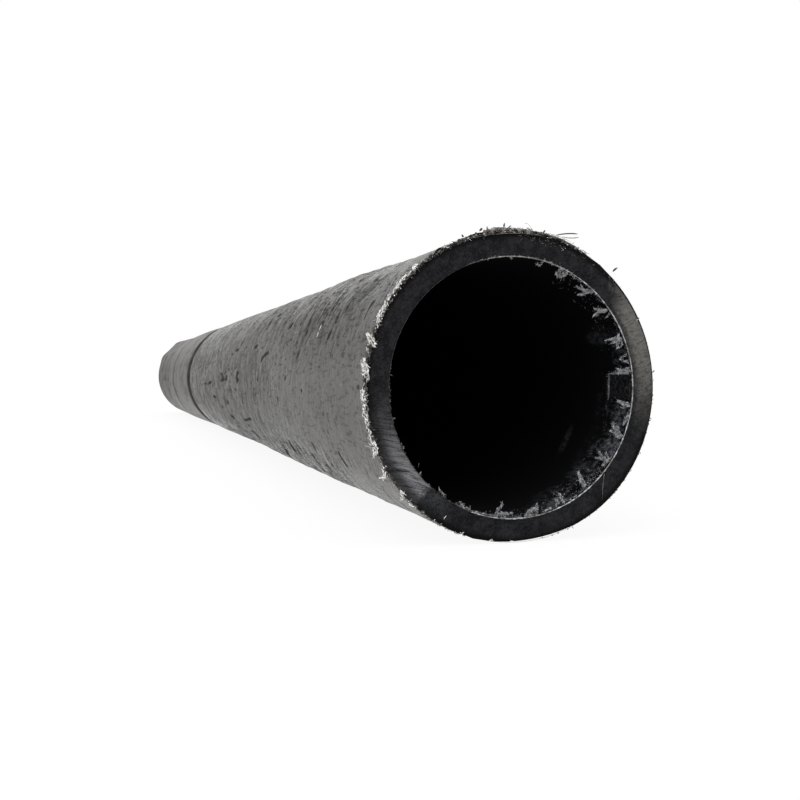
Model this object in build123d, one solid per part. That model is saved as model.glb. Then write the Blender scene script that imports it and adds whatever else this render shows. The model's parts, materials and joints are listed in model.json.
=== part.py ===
from build123d import *
import os

# A length of heavy-wall fibreglass cable conduit, lying on the floor along Y.
# It is one filament-wound pipe. Its -Y end is plainly sawn off. Its +Y end is skimmed
# smooth on a lathe, from a wide turned recess to the end of the pipe.
# Millimetres, +Z up. The origin is on the floor, under the middle of the length.

# Driving dimensions: the pipe as wound and cut
length = 1350.0            # sawn face to turned end
bore_diameter = 100.0
wall = 9.5
saw_edge_break = 0.3       # small break left on both edges of the sawn face

# The turned end
turned_length = 590.0      # turned end back to the near lip of the recess
skim_depth = 0.25          # taken off the radius past the recess
end_chamfer_length = 4.0   # lead-in at the end, along the pipe
end_chamfer_depth = 2.0    # and across the wall
bore_deburr = 0.8          # chamfer in the mouth of the bore

# The recess, and the shallow line past it that marks how far a sleeve goes on
recess_width = 44.0
recess_depth = 2.5
recess_corner = 1.2        # radius in the two inner corners
lip_radius = 1.0           # rounding of the two outer edges
line_offset = 228.0        # far lip of the recess to the middle of the line
line_width = 12.0
line_depth = 0.8

# Worked out from them
bore_radius = bore_diameter / 2
outer_radius = bore_radius + wall
turned_radius = outer_radius - skim_depth
floor_radius = outer_radius - recess_depth
sawn_y = -length / 2
turned_y = length / 2
recess_y = turned_y - turned_length
recess_end_y = recess_y + recess_width
line_y = recess_end_y + line_offset


def corners_at(section, places):
    """Corners of a section that lie at the given (radius, length) places."""
    found = []
    for radius, along in places:
        nearest = section.vertices().sort_by_distance((radius, along, 0))[0]
        found.append(nearest)
    return found


def wall_section():
    """Half section of the wall: radius along X, the pipe's length along Y."""
    lips = [(outer_radius, recess_y), (turned_radius, recess_end_y)]
    feet = [(floor_radius, recess_y), (floor_radius, recess_end_y)]
    outline = [
        (bore_radius + saw_edge_break, sawn_y),
        (outer_radius - saw_edge_break, sawn_y),
        (outer_radius, sawn_y + saw_edge_break),
        lips[0],
        feet[0],
        feet[1],
        lips[1],
        (turned_radius, turned_y - end_chamfer_length),
        (turned_radius - end_chamfer_depth, turned_y),
        (bore_radius + bore_deburr, turned_y),
        (bore_radius, turned_y - bore_deburr),
        (bore_radius, sawn_y + saw_edge_break),
    ]
    with BuildSketch(Plane.XY) as section:
        with BuildLine():
            Polyline(*outline, close=True)
        make_face()
        fillet(corners_at(section, lips), lip_radius)
        fillet(corners_at(section, feet), recess_corner)
    return section.sketch


def line_cutter():
    """Ring of round section that dips into the turned surface by the line's depth."""
    ring_radius = (line_width ** 2 / 4 + line_depth ** 2) / (2 * line_depth)
    ring_centre = turned_radius - line_depth + ring_radius
    with BuildSketch(Plane.XY) as section:
        with Locations((ring_centre, line_y)):
            Circle(ring_radius)
    return revolve(section.sketch, axis=Axis.Y)


def conduit_pipe():
    """The whole pipe, turned about its axis and set down on the floor."""
    pipe = revolve(wall_section(), axis=Axis.Y) - line_cutter()
    return Pos(0, 0, outer_radius) * pipe


os.makedirs("parts", exist_ok=True)
export_step(conduit_pipe(), "parts/conduit_pipe.step")
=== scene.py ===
import json
import math
import bpy
import numpy as np
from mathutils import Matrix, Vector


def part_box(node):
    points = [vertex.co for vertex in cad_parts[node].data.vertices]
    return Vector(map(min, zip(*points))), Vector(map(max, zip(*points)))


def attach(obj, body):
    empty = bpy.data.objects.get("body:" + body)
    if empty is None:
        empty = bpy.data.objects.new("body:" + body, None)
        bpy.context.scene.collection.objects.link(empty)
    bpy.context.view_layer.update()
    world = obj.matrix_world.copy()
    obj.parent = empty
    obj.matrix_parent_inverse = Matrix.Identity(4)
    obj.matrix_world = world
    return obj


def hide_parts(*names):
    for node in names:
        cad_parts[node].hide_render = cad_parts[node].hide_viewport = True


# A length of black filament-wound conduit on a white floor, seen from its sawn end.
# Metres throughout. Places along the pipe are measured from the sawn face.

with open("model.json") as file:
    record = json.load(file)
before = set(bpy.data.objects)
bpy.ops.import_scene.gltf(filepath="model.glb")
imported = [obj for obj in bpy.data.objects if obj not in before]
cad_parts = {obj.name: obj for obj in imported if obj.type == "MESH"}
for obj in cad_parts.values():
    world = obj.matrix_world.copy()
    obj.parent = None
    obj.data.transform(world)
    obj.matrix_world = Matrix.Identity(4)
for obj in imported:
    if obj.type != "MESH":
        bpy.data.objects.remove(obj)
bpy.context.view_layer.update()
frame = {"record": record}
mm = 0.001

mounts = {mount["name"]: mount for mount in frame["record"]["mounts"]}
lowest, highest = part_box("conduit_pipe")
outerRadius = (highest.x - lowest.x) / 2
boreRadius = mounts["cable_bore"]["dims"]["r_mm"] * mm
turnedRadius = mounts["turned_outside"]["dims"]["r_mm"] * mm
axisHeight = (highest.z + lowest.z) / 2
sawnY = lowest.y
pipeLength = highest.y - lowest.y
woundMount = mounts["wound_outside"]
woundEnd = woundMount["pos_m"][1] - sawnY + woundMount["dims"]["length_mm"] * mm / 2
print("frame: pipe", round(pipeLength, 4), "long,", round(outerRadius * 2, 4), "across")


# Number helpers, all on whole arrays

def ease(low, high, value):
    # 0 below low, 1 above high, a smooth cubic between
    t = np.clip((value - low) / (high - low), 0, 1)
    return t * t * (3 - 2 * t)


def ripple(seed, count, turns, lengths):
    # random field round and along the pipe: a sum of cosines of
    # (whole number of turns * angle + 2 pi * along / wavelength + phase), scaled to a spread of 1
    rng = np.random.default_rng(seed)
    whole = rng.integers(turns[0], turns[1] + 1, count)
    pitch = 2 * np.pi / rng.uniform(lengths[0], lengths[1], count)
    phase = rng.uniform(0, 2 * np.pi, count)
    weight = rng.uniform(0.5, 1.0, count)
    weight /= np.sqrt((weight ** 2).sum() / 2)

    def field(along, angle):
        total = np.zeros(np.broadcast(along, angle).shape)
        for n in range(count):
            total += weight[n] * np.cos(whole[n] * angle + pitch[n] * along + phase[n])
        return total
    return field


def arcDistance(angle, middle):
    # shortest way round from one angle to another, in radians
    return np.abs((angle - middle + np.pi) % (2 * np.pi) - np.pi)


def sector(angle, fromDegrees, toDegrees, softDegrees):
    # 1 inside a sector of the circle, fading to 0 over the soft width outside it
    middle = math.radians((fromDegrees + toDegrees) / 2)
    half = math.radians((toDegrees - fromDegrees) / 2)
    return 1 - ease(half, half + math.radians(softDegrees), arcDistance(angle, middle))


def onPipe(angle, radius, along):
    # point at an angle round the axis (from +X towards +Z), a radius and a place along
    across, up = radius * np.cos(angle), axisHeight + radius * np.sin(angle)
    return np.stack(np.broadcast_arrays(across, sawnY + along, up), axis=-1)


def directionsAt(angle):
    # unit vectors away from the axis and round it, at each angle
    zero = np.zeros_like(angle)
    away = np.stack([np.cos(angle), zero, np.sin(angle)], axis=-1)
    around = np.stack([-np.sin(angle), zero, np.cos(angle)], axis=-1)
    return away, around


lengthwise = np.array([0.0, 1.0, 0.0])


# Mesh helpers

def newPiece(name, points, faces, finishes, finishOfFace, values=None):
    # a mesh object at the origin, from arrays of corners and of faces with 3 or 4 corners each;
    # finishOfFace numbers the finish of every face, and values holds named numbers, one for each
    # point, that a finish may read
    mesh = bpy.data.meshes.new(name)
    faces = [np.asarray(group) for group in faces]
    loops = np.concatenate([group.ravel() for group in faces]).astype(np.int32)
    sizes = np.concatenate([np.full(len(group), group.shape[1]) for group in faces])
    starts = np.concatenate([[0], np.cumsum(sizes)[:-1]]).astype(np.int32)
    mesh.vertices.add(len(points))
    mesh.vertices.foreach_set("co", np.asarray(points, np.float32).ravel())
    mesh.loops.add(len(loops))
    mesh.loops.foreach_set("vertex_index", loops)
    mesh.polygons.add(len(sizes))
    mesh.polygons.foreach_set("loop_start", starts)
    mesh.polygons.foreach_set("use_smooth", np.ones(len(sizes), bool))
    for finish in finishes:
        mesh.materials.append(finish)
    mesh.polygons.foreach_set("material_index", finishOfFace.astype(np.int32))
    mesh.update(calc_edges=True)
    mesh.validate()
    for key, numbers in (values or {}).items():
        attribute = mesh.attributes.new(key, "FLOAT", "POINT")
        attribute.data.foreach_set("value", np.float32(numbers).ravel())
    piece = bpy.data.objects.new(name, mesh)
    bpy.context.scene.collection.objects.link(piece)
    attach(piece, "root")
    print("piece:", name, len(mesh.polygons), "faces")
    return piece


def ringFaces(rows, columns):
    # quads of a grid that closes on itself both ways, row by row
    row, column = np.meshgrid(np.arange(rows), np.arange(columns), indexing="ij")
    nextRow, nextColumn = (row + 1) % rows, (column + 1) % columns
    quads = [row * columns + column, nextRow * columns + column,
             nextRow * columns + nextColumn, row * columns + nextColumn]
    return np.stack(quads, axis=-1).reshape(-1, 4)


profiles = {
    # share of its thickness that a fibre has at t from 0 to 1
    "taper": lambda t: 1 - 0.7 * t,
    "flake": lambda t: 0.3 + 0.7 * np.sin(np.pi * t),
    "thread": lambda t: 1 - 0.5 * (2 * t - 1) ** 6,
}


def fibres(start, heading, bend, length, thickness, shade, steps, profile):
    # each fibre is the curve start + length * (t * heading + t * t * bend) for t from 0 to 1,
    # with a three-sided section of the profile's shape
    sides = 3
    t = np.linspace(0, 1, steps)[None, :, None]
    heading, bend = heading[:, None, :], bend[:, None, :]
    line = start[:, None, :] + length[:, None, None] * (t * heading + t * t * bend)
    tangent = heading + 2 * t * bend
    tangent /= np.linalg.norm(tangent, axis=-1, keepdims=True)
    helper = np.where(np.abs(heading[..., 2:]) < 0.8, [[[0.0, 0.0, 1.0]]], [[[1.0, 0.0, 0.0]]])
    across = np.cross(helper, tangent)
    across /= np.linalg.norm(across, axis=-1, keepdims=True)
    upright = np.cross(tangent, across)
    turn = np.arange(sides) * 2 * np.pi / sides
    radius = thickness[:, None, None] / 2 * profiles[profile](t)
    ring = across[:, :, None] * np.cos(turn)[:, None] + upright[:, :, None] * np.sin(turn)[:, None]
    points = line[:, :, None] + radius[:, :, None] * ring
    count = len(start)
    first = (np.arange(count) * steps * sides)[:, None, None]
    step, side = np.meshgrid(np.arange(steps - 1), np.arange(sides), indexing="ij")
    here, beside = step * sides + side, step * sides + (side + 1) % sides
    quads = np.stack([here, beside, beside + sides, here + sides], axis=-1).reshape(1, -1, 4) + first
    last = (steps - 1) * sides
    caps = np.array([[2, 1, 0], [last, last + 1, last + 2]])[None] + first
    return points.reshape(-1, 3), quads, caps, shade


def fibrePiece(name, groups, finishes):
    # several groups of fibres as one mesh, each fibre in the finish that its shade numbers
    points, quads, caps, quadShade, capShade, total = [], [], [], [], [], 0
    for groupPoints, groupQuads, groupCaps, shade in groups:
        points.append(groupPoints)
        quads.append(groupQuads.reshape(-1, 4) + total)
        caps.append(groupCaps.reshape(-1, 3) + total)
        quadShade.append(np.repeat(shade, groupQuads.shape[1]))
        capShade.append(np.repeat(shade, groupCaps.shape[1]))
        total += len(groupPoints)
    faces = [np.concatenate(quads), np.concatenate(caps)]
    newPiece(name, np.concatenate(points), faces, finishes, np.concatenate(quadShade + capShade))


# Shader helpers

class Wire:
    # the output of a node, used in sums: each operator adds one Math node
    def __init__(self, finish, socket):
        self.finish = finish
        self.socket = socket

    def maths(self, operation, first, second=0.0):
        return self.finish.node("ShaderNodeMath", {"operation": operation}, {0: first, 1: second})

    def __add__(self, other):
        return self.maths("ADD", self, other)

    def __radd__(self, other):
        return self.maths("ADD", other, self)

    def __sub__(self, other):
        return self.maths("SUBTRACT", self, other)

    def __rsub__(self, other):
        return self.maths("SUBTRACT", other, self)

    def __mul__(self, other):
        return self.maths("MULTIPLY", self, other)

    def __rmul__(self, other):
        return self.maths("MULTIPLY", other, self)

    def __truediv__(self, other):
        return self.maths("DIVIDE", self, other)

    def __pow__(self, other):
        return self.maths("POWER", self, other)

    def __abs__(self):
        return self.maths("ABSOLUTE", self)


class Finish:
    # one material, and the ways to add nodes to it
    def __init__(self, name, owner=None):
        self.owner = owner or bpy.data.materials.new(name)
        self.owner.use_nodes = True
        self.tree = self.owner.node_tree
        self.tree.nodes.clear()

    def node(self, kind, settings=None, inputs=None, output=0):
        made = self.tree.nodes.new(kind)
        for key, value in (settings or {}).items():
            setattr(made, key, value)
        for key, value in (inputs or {}).items():
            if isinstance(value, Wire):
                self.tree.links.new(value.socket, made.inputs[key])
            else:
                made.inputs[key].default_value = value
        return Wire(self, made.outputs[output]) if len(made.outputs) else made

    def place(self):
        # Object coordinates with the pipe's axis through zero
        local = self.node("ShaderNodeTexCoord", output="Object")
        centred = {"Vector": local, "Location": (0, -sawnY, -axisHeight)}
        return self.node("ShaderNodeMapping", inputs=centred)

    def parts(self, vector):
        # the three values of a vector
        split = self.node("ShaderNodeSeparateXYZ", inputs={0: vector})
        outputs = split.socket.node.outputs
        return [Wire(self, outputs[n]) for n in range(3)]

    def vector(self, x, y, z):
        return self.node("ShaderNodeCombineXYZ", inputs={0: x, 1: y, 2: z})

    def angle(self, across, up):
        # angle of a direction in radians, from across towards up
        return self.node("ShaderNodeMath", {"operation": "ARCTAN2"}, {0: up, 1: across})

    def attribute(self, name):
        # named numbers that the mesh carries
        return self.node("ShaderNodeAttribute", {"attribute_name": name}, output="Fac")

    def seenDirectly(self):
        # 1 for camera, glossy and transmission rays
        rays = self.node("ShaderNodeLightPath").socket.node.outputs
        kinds = ("Is Camera Ray", "Is Glossy Ray", "Is Transmission Ray")
        camera, glossy, through = [Wire(self, rays[kind]) for kind in kinds]
        return self.larger(camera + glossy, through)

    def noise(self, vector, across, along, detail=3.0, rough=0.5):
        # noise whose grain measures about 1 / across round the pipe and 1 / along its length
        stretched = {"operation": "MULTIPLY"}
        scaled = self.node("ShaderNodeVectorMath", stretched, {0: vector, 1: (across, along, across)})
        return self.node("ShaderNodeTexNoise", inputs={"Vector": scaled, "Scale": 1.0,
                                                       "Detail": detail, "Roughness": rough})

    def evenNoise(self, vector, grain, detail=3.0, rough=0.5):
        # the same with one grain all ways
        return self.noise(vector, grain, grain, detail, rough)

    def larger(self, first, second):
        return self.node("ShaderNodeMath", {"operation": "MAXIMUM"}, {0: first, 1: second})

    def step(self, value, low, high):
        # 0 below low, 1 above high, smooth between; low may be the higher one, which turns it round
        rising = low < high
        span = {"Value": value, "From Min": min(low, high), "From Max": max(low, high),
                "To Min": 0.0 if rising else 1.0, "To Max": 1.0 if rising else 0.0}
        return self.node("ShaderNodeMapRange", {"interpolation_type": "SMOOTHSTEP"}, span)

    def turnStep(self, value, limits):
        # the same for an angle, between two limits in degrees
        return self.step(value, math.radians(limits[0]), math.radians(limits[1]))

    def mix(self, factor, first, second):
        # blend of two colours
        colours = {0: factor, 6: first, 7: second}
        return self.node("ShaderNodeMix", {"data_type": "RGBA"}, colours, output=2)

    def bump(self, height, strength, distance):
        sizes = {"Height": height, "Strength": strength, "Distance": distance}
        return self.node("ShaderNodeBump", inputs=sizes)

    def surface(self, **inputs):
        # the Principled shader, with underscores in the names for spaces
        named = {key.replace("_", " "): value for key, value in inputs.items()}
        return self.node("ShaderNodeBsdfPrincipled", inputs=named)

    def blend(self, factor, first, second):
        return self.node("ShaderNodeMixShader", inputs={0: factor, 1: first, 2: second})

    def output(self, shader, kind="ShaderNodeOutputMaterial"):
        self.node(kind, inputs={"Surface": shader})
        return self.owner


def rgb(red, green, blue):
    return (red, green, blue, 1.0)


# Finishes

mattBlackLook = {
    # the matt black that is blended in as painted shade in hollows, cracks, troughs and the recess,
    # and where the resin has lost its shine
    "colour": rgb(0.006, 0.006, 0.006),
    "roughness": 0.8,
    "gloss": 0.12,
}


def glossy(finish, colour, roughness, normal):
    return finish.surface(Base_Color=colour, Roughness=roughness, Specular_IOR_Level=0.5, Normal=normal)


def mattBlack(finish, normal):
    return finish.surface(Base_Color=mattBlackLook["colour"], Roughness=mattBlackLook["roughness"],
                          Specular_IOR_Level=mattBlackLook["gloss"], Normal=normal)


woundLook = {
    "colour": rgb(0.040, 0.037, 0.033),
    "dusty": rgb(0.074, 0.069, 0.060),
    # painted sheen near the upper and lower outline
    "outlineSheen": rgb(0.170, 0.166, 0.155),
    # painted highlight on the rounded lip before the recess and on the pale strokes
    "wearAndHighlight": rgb(0.130, 0.120, 0.105),     # the last millimetres before the recess
    "speck": rgb(0.30, 0.29, 0.26),
    "roughness": 0.18,          # along the top and the underside
    "roughSides": 0.19,         # added half way up, where the resin has been rubbed
    "roughDull": 0.12,          # added where it is dull
    "slant": 50 * mm,           # how far wrinkles climb along the pipe for a radian round it
    "slantEase": 0.05,          # rounds off the turn of the slant half way up, in radians squared
    "reliefHeight": 1.7 * mm,
    "grains": {
        # grains per metre round and along
        "fine": (560, 130),
        "wrinkles": (95, 180),
        "folds": (40, 170),
        "scores": (38, 210),
        "lines": (130, 300),
        "middle": (420, 130),
        "far": (300, 55),
        "gaps": (75, 50),
        "patches": (14, 8),
        "specks": (330, 250),
    },
    "reach": {
        # place along the pipe where each has faded out, then where it is full
        "above": (15 * mm, 80 * mm),
        "below": (20 * mm, 130 * mm),
        "beyond": (140 * mm, 300 * mm),
        "scores": (500 * mm, 250 * mm),
        "folds": (620 * mm, 400 * mm),
        "linesStart": (5 * mm, 50 * mm),
        "linesEnd": (300 * mm, 160 * mm),
        "middleStart": (100 * mm, 240 * mm),
        "middleEnd": (550 * mm, 360 * mm),
        "far": (340 * mm, 480 * mm),
        # where the painted sheen near the outlines starts and ends
        "sheenStart": (30 * mm, 100 * mm),
        "sheenEnd": (360 * mm, 240 * mm),
        "rubbed": (270 * mm, 110 * mm),
        "wearAndHighlight": (woundEnd - 9 * mm, woundEnd - 2 * mm),
    },
    "limits": {
        # value of a noise field where each has faded out, then where it is full
        "cracks": (0.06, 0.0),            # these two are distances off the field's middle
        "scores": (0.035, 0.0),
        "crackGaps": (0.42, 0.56),
        "scoreGaps": (0.58, 0.46),
        "lines": (0.50, 0.70),
        "middle": (0.52, 0.72),
        "far": (0.50, 0.70),
        "hollows": (0.18, 0.74),
        "scuffsAndHighlights": (0.35, 0.75),
        "dull": (0.42, 0.60),
        "specks": (0.71, 0.76),
        "troughs": (0.50, 0.38),
        "fine": (0.50, 0.37),
    },
    "depth": {
        # share of the relief's height
        "folds": 1.2,
        "fine": 0.42,
        "hollows": 0.4,
        "cracks": 0.2,
        "scores": 0.12,
    },
    "rise": {
        # height over the axis where each has faded out, then where it is full
        "above": (4 * mm, 30 * mm),
        "below": (-20 * mm, -40 * mm),
        "folds": (20 * mm, 42 * mm),      # this one and the next two count both up and down
        "calm": (34 * mm, 52 * mm),
        "sides": (56 * mm, 14 * mm),
    },
    "bands": {
        # height over the axis, and the distances off it where each has faded out and is full
        "speckled": (5 * mm, 32 * mm, 10 * mm),
        # painted sheen near the upper and lower outline
        "dustAndSheen": (3 * mm, 30 * mm, 50 * mm),
        "rubbed": (27 * mm, 27 * mm, 9 * mm),
    },
    "blackening": {
        # share of the matt black blended in for each: painted shade in the hollows, cracks, scores and
        # the low parts of the wrinkles, folds and fine relief; darker grain and a rubbed band for the
        # rest
        "hollows": 0.95,
        "cracks": 0.65,
        "scores": 0.50,
        "wrinkles": 0.50,
        "folds": 0.36,
        "fine": 0.44,
        "lines": 0.272,
        "middle": 0.352,
        "far": 0.432,
        "rubbed": 0.208,
    },
}


def woundFinish():
    finish = Finish("woundResin")
    look = woundLook
    grains, reach, rise, blackening = look["grains"], look["reach"], look["rise"], look["blackening"]
    limits, depth = look["limits"], look["depth"]
    place = finish.place()
    x, y, z = finish.parts(place)
    marks = finish.attribute("hollows")
    scuffsAndHighlights = finish.attribute("scuffsAndHighlights")

    def band(name):
        height, out, full = look["bands"][name]
        return finish.step(abs(z - height), out, full)

    # the wrinkles climb along the pipe both above and below the middle of the left side
    turn = finish.angle(x * -1.0, z)
    slid = finish.vector(x, y - (turn * turn + look["slantEase"]) ** 0.5 * look["slant"], z)
    fine = finish.noise(place, *grains["fine"], rough=0.75)
    wrinkles = finish.noise(slid, *grains["wrinkles"], detail=4.0, rough=0.68)
    folds = finish.noise(slid, *grains["folds"], rough=0.6)
    gaps = finish.noise(place, *grains["gaps"], detail=2.0)
    patches = finish.noise(place, *grains["patches"], detail=2.0)
    # where the surface is busy: above, below, and everywhere past the first stretch
    above = finish.step(z, *rise["above"]) * finish.step(y, *reach["above"])
    below = finish.step(z, *rise["below"]) * finish.step(y, *reach["below"])
    beyond = finish.step(y, *reach["beyond"])
    busy = 0.2 + 0.8 * finish.larger(finish.larger(above, below), beyond)
    # short cracks and longer scores round the pipe, where a field is half way
    cracks = finish.step(abs(wrinkles - 0.5), *limits["cracks"])
    cracks = cracks * finish.step(gaps, *limits["crackGaps"]) * busy
    scoreField = finish.noise(slid, *grains["scores"], rough=0.6)
    scores = finish.step(abs(scoreField - 0.5), *limits["scores"])
    scores = scores * finish.step(gaps, *limits["scoreGaps"])
    scores = scores * finish.step(y, *reach["scores"]) * (0.35 + 0.65 * busy)
    # fine slanting lines near the sawn end, then dark grain that is coarser further along
    lines = finish.step(finish.noise(slid, *grains["lines"], rough=0.65), *limits["lines"])
    lines = lines * finish.step(y, *reach["linesStart"]) * finish.step(y, *reach["linesEnd"])
    middle = finish.step(finish.noise(place, *grains["middle"], rough=0.7), *limits["middle"])
    middle = middle * finish.step(y, *reach["middleStart"]) * finish.step(y, *reach["middleEnd"])
    coarse = finish.noise(place, *grains["far"], rough=0.7)
    far = finish.step(coarse, *limits["far"]) * finish.step(y, *reach["far"])
    grain = middle * blackening["middle"] + far * blackening["far"] + lines * blackening["lines"]
    grain = grain * (0.6 + 0.4 * band("speckled"))
    # the hollows that the mesh carries, with uneven edges
    uneven = 0.6 + 1.2 * wrinkles + (coarse - 0.5) * 2.4
    hollows = finish.step(marks * uneven + (fine - 0.5) * 0.8, *limits["hollows"])
    foldZone = finish.step(abs(z), *rise["folds"]) * finish.step(y, *reach["folds"])
    # colour: dull patches, pale specks, a painted sheen near the upper and lower outline, and painted
    # highlights on the pale strokes and on the rounded lip before the recess
    dull = finish.step(patches * 0.5 + fine * 0.5, *limits["dull"])
    colour = finish.mix(dull, look["colour"], look["dusty"])
    specks = finish.step(finish.noise(place, *grains["specks"], detail=2.0), *limits["specks"])
    colour = finish.mix(specks * 0.4, colour, look["speck"])
    # painted sheen near the upper and lower outline, stronger on the wrinkles
    dustAndSheen = band("dustAndSheen") * finish.step(y, *reach["sheenStart"]) * finish.step(y, *reach["sheenEnd"])
    colour = finish.mix(dustAndSheen * (0.4 + wrinkles), colour, look["outlineSheen"])
    # painted highlights on the pale strokes and on the rounded lip before the recess
    strokeHighlight = finish.step(scuffsAndHighlights + (wrinkles - 0.5) * 0.8, *limits["scuffsAndHighlights"])
    wearAndHighlight = finish.larger(finish.step(y, *reach["wearAndHighlight"]), strokeHighlight * 0.8)
    colour = finish.mix(wearAndHighlight, colour, look["wearAndHighlight"])
    sides = finish.step(abs(z), *rise["sides"])
    roughness = look["roughness"] + look["roughSides"] * sides + look["roughDull"] * dull
    # the relief is calmer near the upper and the lower outline
    calm = 1 - 0.65 * finish.step(abs(z), *rise["calm"])
    height = (wrinkles * (0.35 + 0.65 * busy) + folds * foldZone * depth["folds"]) * calm
    height = height + fine * depth["fine"] - hollows * depth["hollows"]
    height = height - cracks * depth["cracks"] - scores * depth["scores"]
    normal = finish.bump(height, 0.85, look["reliefHeight"])
    resin = glossy(finish, colour, roughness, normal)
    # painted shade in the low parts of the wrinkles, folds and fine relief, and a duller rubbed band
    troughShade = finish.step(wrinkles, *limits["troughs"]) * busy * blackening["wrinkles"]
    troughShade = troughShade + finish.step(folds, *limits["troughs"]) * foldZone * blackening["folds"]
    rubbed = finish.step(y, *reach["rubbed"]) * band("rubbed") * blackening["rubbed"]
    dullAndShaded = rubbed + troughShade + finish.step(fine, *limits["fine"]) * blackening["fine"]
    # matt black blended in: painted shade in the cracks, the scores and the hollows, over the darker
    # grain
    dark = finish.larger(cracks * blackening["cracks"], scores * blackening["scores"])
    dark = finish.larger(hollows * blackening["hollows"], dark)
    dark = finish.larger(dark, grain + dullAndShaded)
    return finish.output(finish.blend(dark, resin, mattBlack(finish, normal)))


turnedLook = {
    "colour": rgb(0.020, 0.018, 0.012),
    "wearAndHighlight": rgb(0.050, 0.045, 0.033),
    "roughness": 0.14,
    "roughSides": 0.13,
    "roughSlow": 0.20,
    "roughPatches": 0.26,
    "reliefHeight": 0.35 * mm,
    "latheGrain": 900,          # grains per metre, and below, grains per metre round and along
    "slowGrain": (30, 20),
    "patchGrain": (34, 9),
    "blotGrain": (75, 20),
    "scuffGrain": (150, 60),
    # painted shade lies beside the stop line, along this place
    "darkLine": 1022 * mm,      # from the sawn face, beside the stop line
    "darkWander": 20 * mm,      # how unevenly that line runs
    # where each has faded out, then where it is full: height over the axis, distance off the dark
    # line, places along the pipe, and radius
    "sides": (50 * mm, 8 * mm),
    "line": (24 * mm, 4 * mm),
    "recess": (900 * mm, 850 * mm),
    "end": (1060 * mm, 1200 * mm),
    "edge": (pipeLength - 13 * mm, pipeLength - 3 * mm),
    "sunk": (turnedRadius - 0.6 * mm, turnedRadius - 2.0 * mm),
    "limits": {
        # value of a noise field where each has faded out, then where it is full
        "wearAndHighlight": (0.4, 0.7),
        "blots": (0.48, 0.66),
        "patches": (0.50, 0.36),
    },
    "depth": {
        # share of the relief's height
        "lathe": 0.1,
        "patches": 0.9,
        "scuffsAndHighlights": 0.6,
    },
    "blackening": {
        # share of matt black blended in for each; in the recess and beside the stop line it is painted
        # shade
        "recess": 0.46,
        "line": 0.30,
        "end": 0.22,
        "edge": 0.34,
        "blots": 0.34,
        "patches": 0.14,
    },
}


def turnedFinish():
    finish = Finish("turnedResin")
    look = turnedLook
    limits, depth, blackening = look["limits"], look["depth"], look["blackening"]
    place = finish.place()
    x, y, z = finish.parts(place)
    radius = (x * x + z * z) ** 0.5
    section = finish.vector(radius, y, 0.0)
    lathe = finish.evenNoise(section, look["latheGrain"], detail=2.0)
    slow = finish.noise(section, *look["slowGrain"])
    patches = finish.noise(place, *look["patchGrain"], detail=4.0, rough=0.6)
    blots = finish.noise(place, *look["blotGrain"], rough=0.65)
    scuffsAndHighlights = finish.noise(place, *look["scuffGrain"])
    colour = finish.mix(finish.step(patches, *limits["wearAndHighlight"]), look["colour"], look["wearAndHighlight"])
    sides = finish.step(abs(z), *look["sides"])
    # painted shade in the recess and beside the stop line; darker in blots and towards the end with
    # its broken edge
    dark = finish.step(radius, *look["sunk"]) * finish.step(y, *look["recess"]) * blackening["recess"]
    offLine = abs(y - look["darkLine"] + (blots - 0.5) * look["darkWander"])
    dark = dark + finish.step(offLine, *look["line"]) * blackening["line"]
    dark = dark + finish.step(y, *look["end"]) * blackening["end"]
    dark = dark + finish.step(y, *look["edge"]) * blackening["edge"]
    dark = dark + finish.step(blots, *limits["blots"]) * blackening["blots"]
    dark = dark + finish.step(patches, *limits["patches"]) * blackening["patches"]
    height = lathe * depth["lathe"] + patches * depth["patches"] + scuffsAndHighlights * depth["scuffsAndHighlights"]
    normal = finish.bump(height, 0.5, look["reliefHeight"])
    roughness = look["roughness"] + look["roughSides"] * sides
    roughness = roughness + look["roughSlow"] * slow + look["roughPatches"] * patches
    resin = glossy(finish, colour, roughness, normal)
    return finish.output(finish.blend(dark, resin, mattBlack(finish, normal)))


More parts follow.
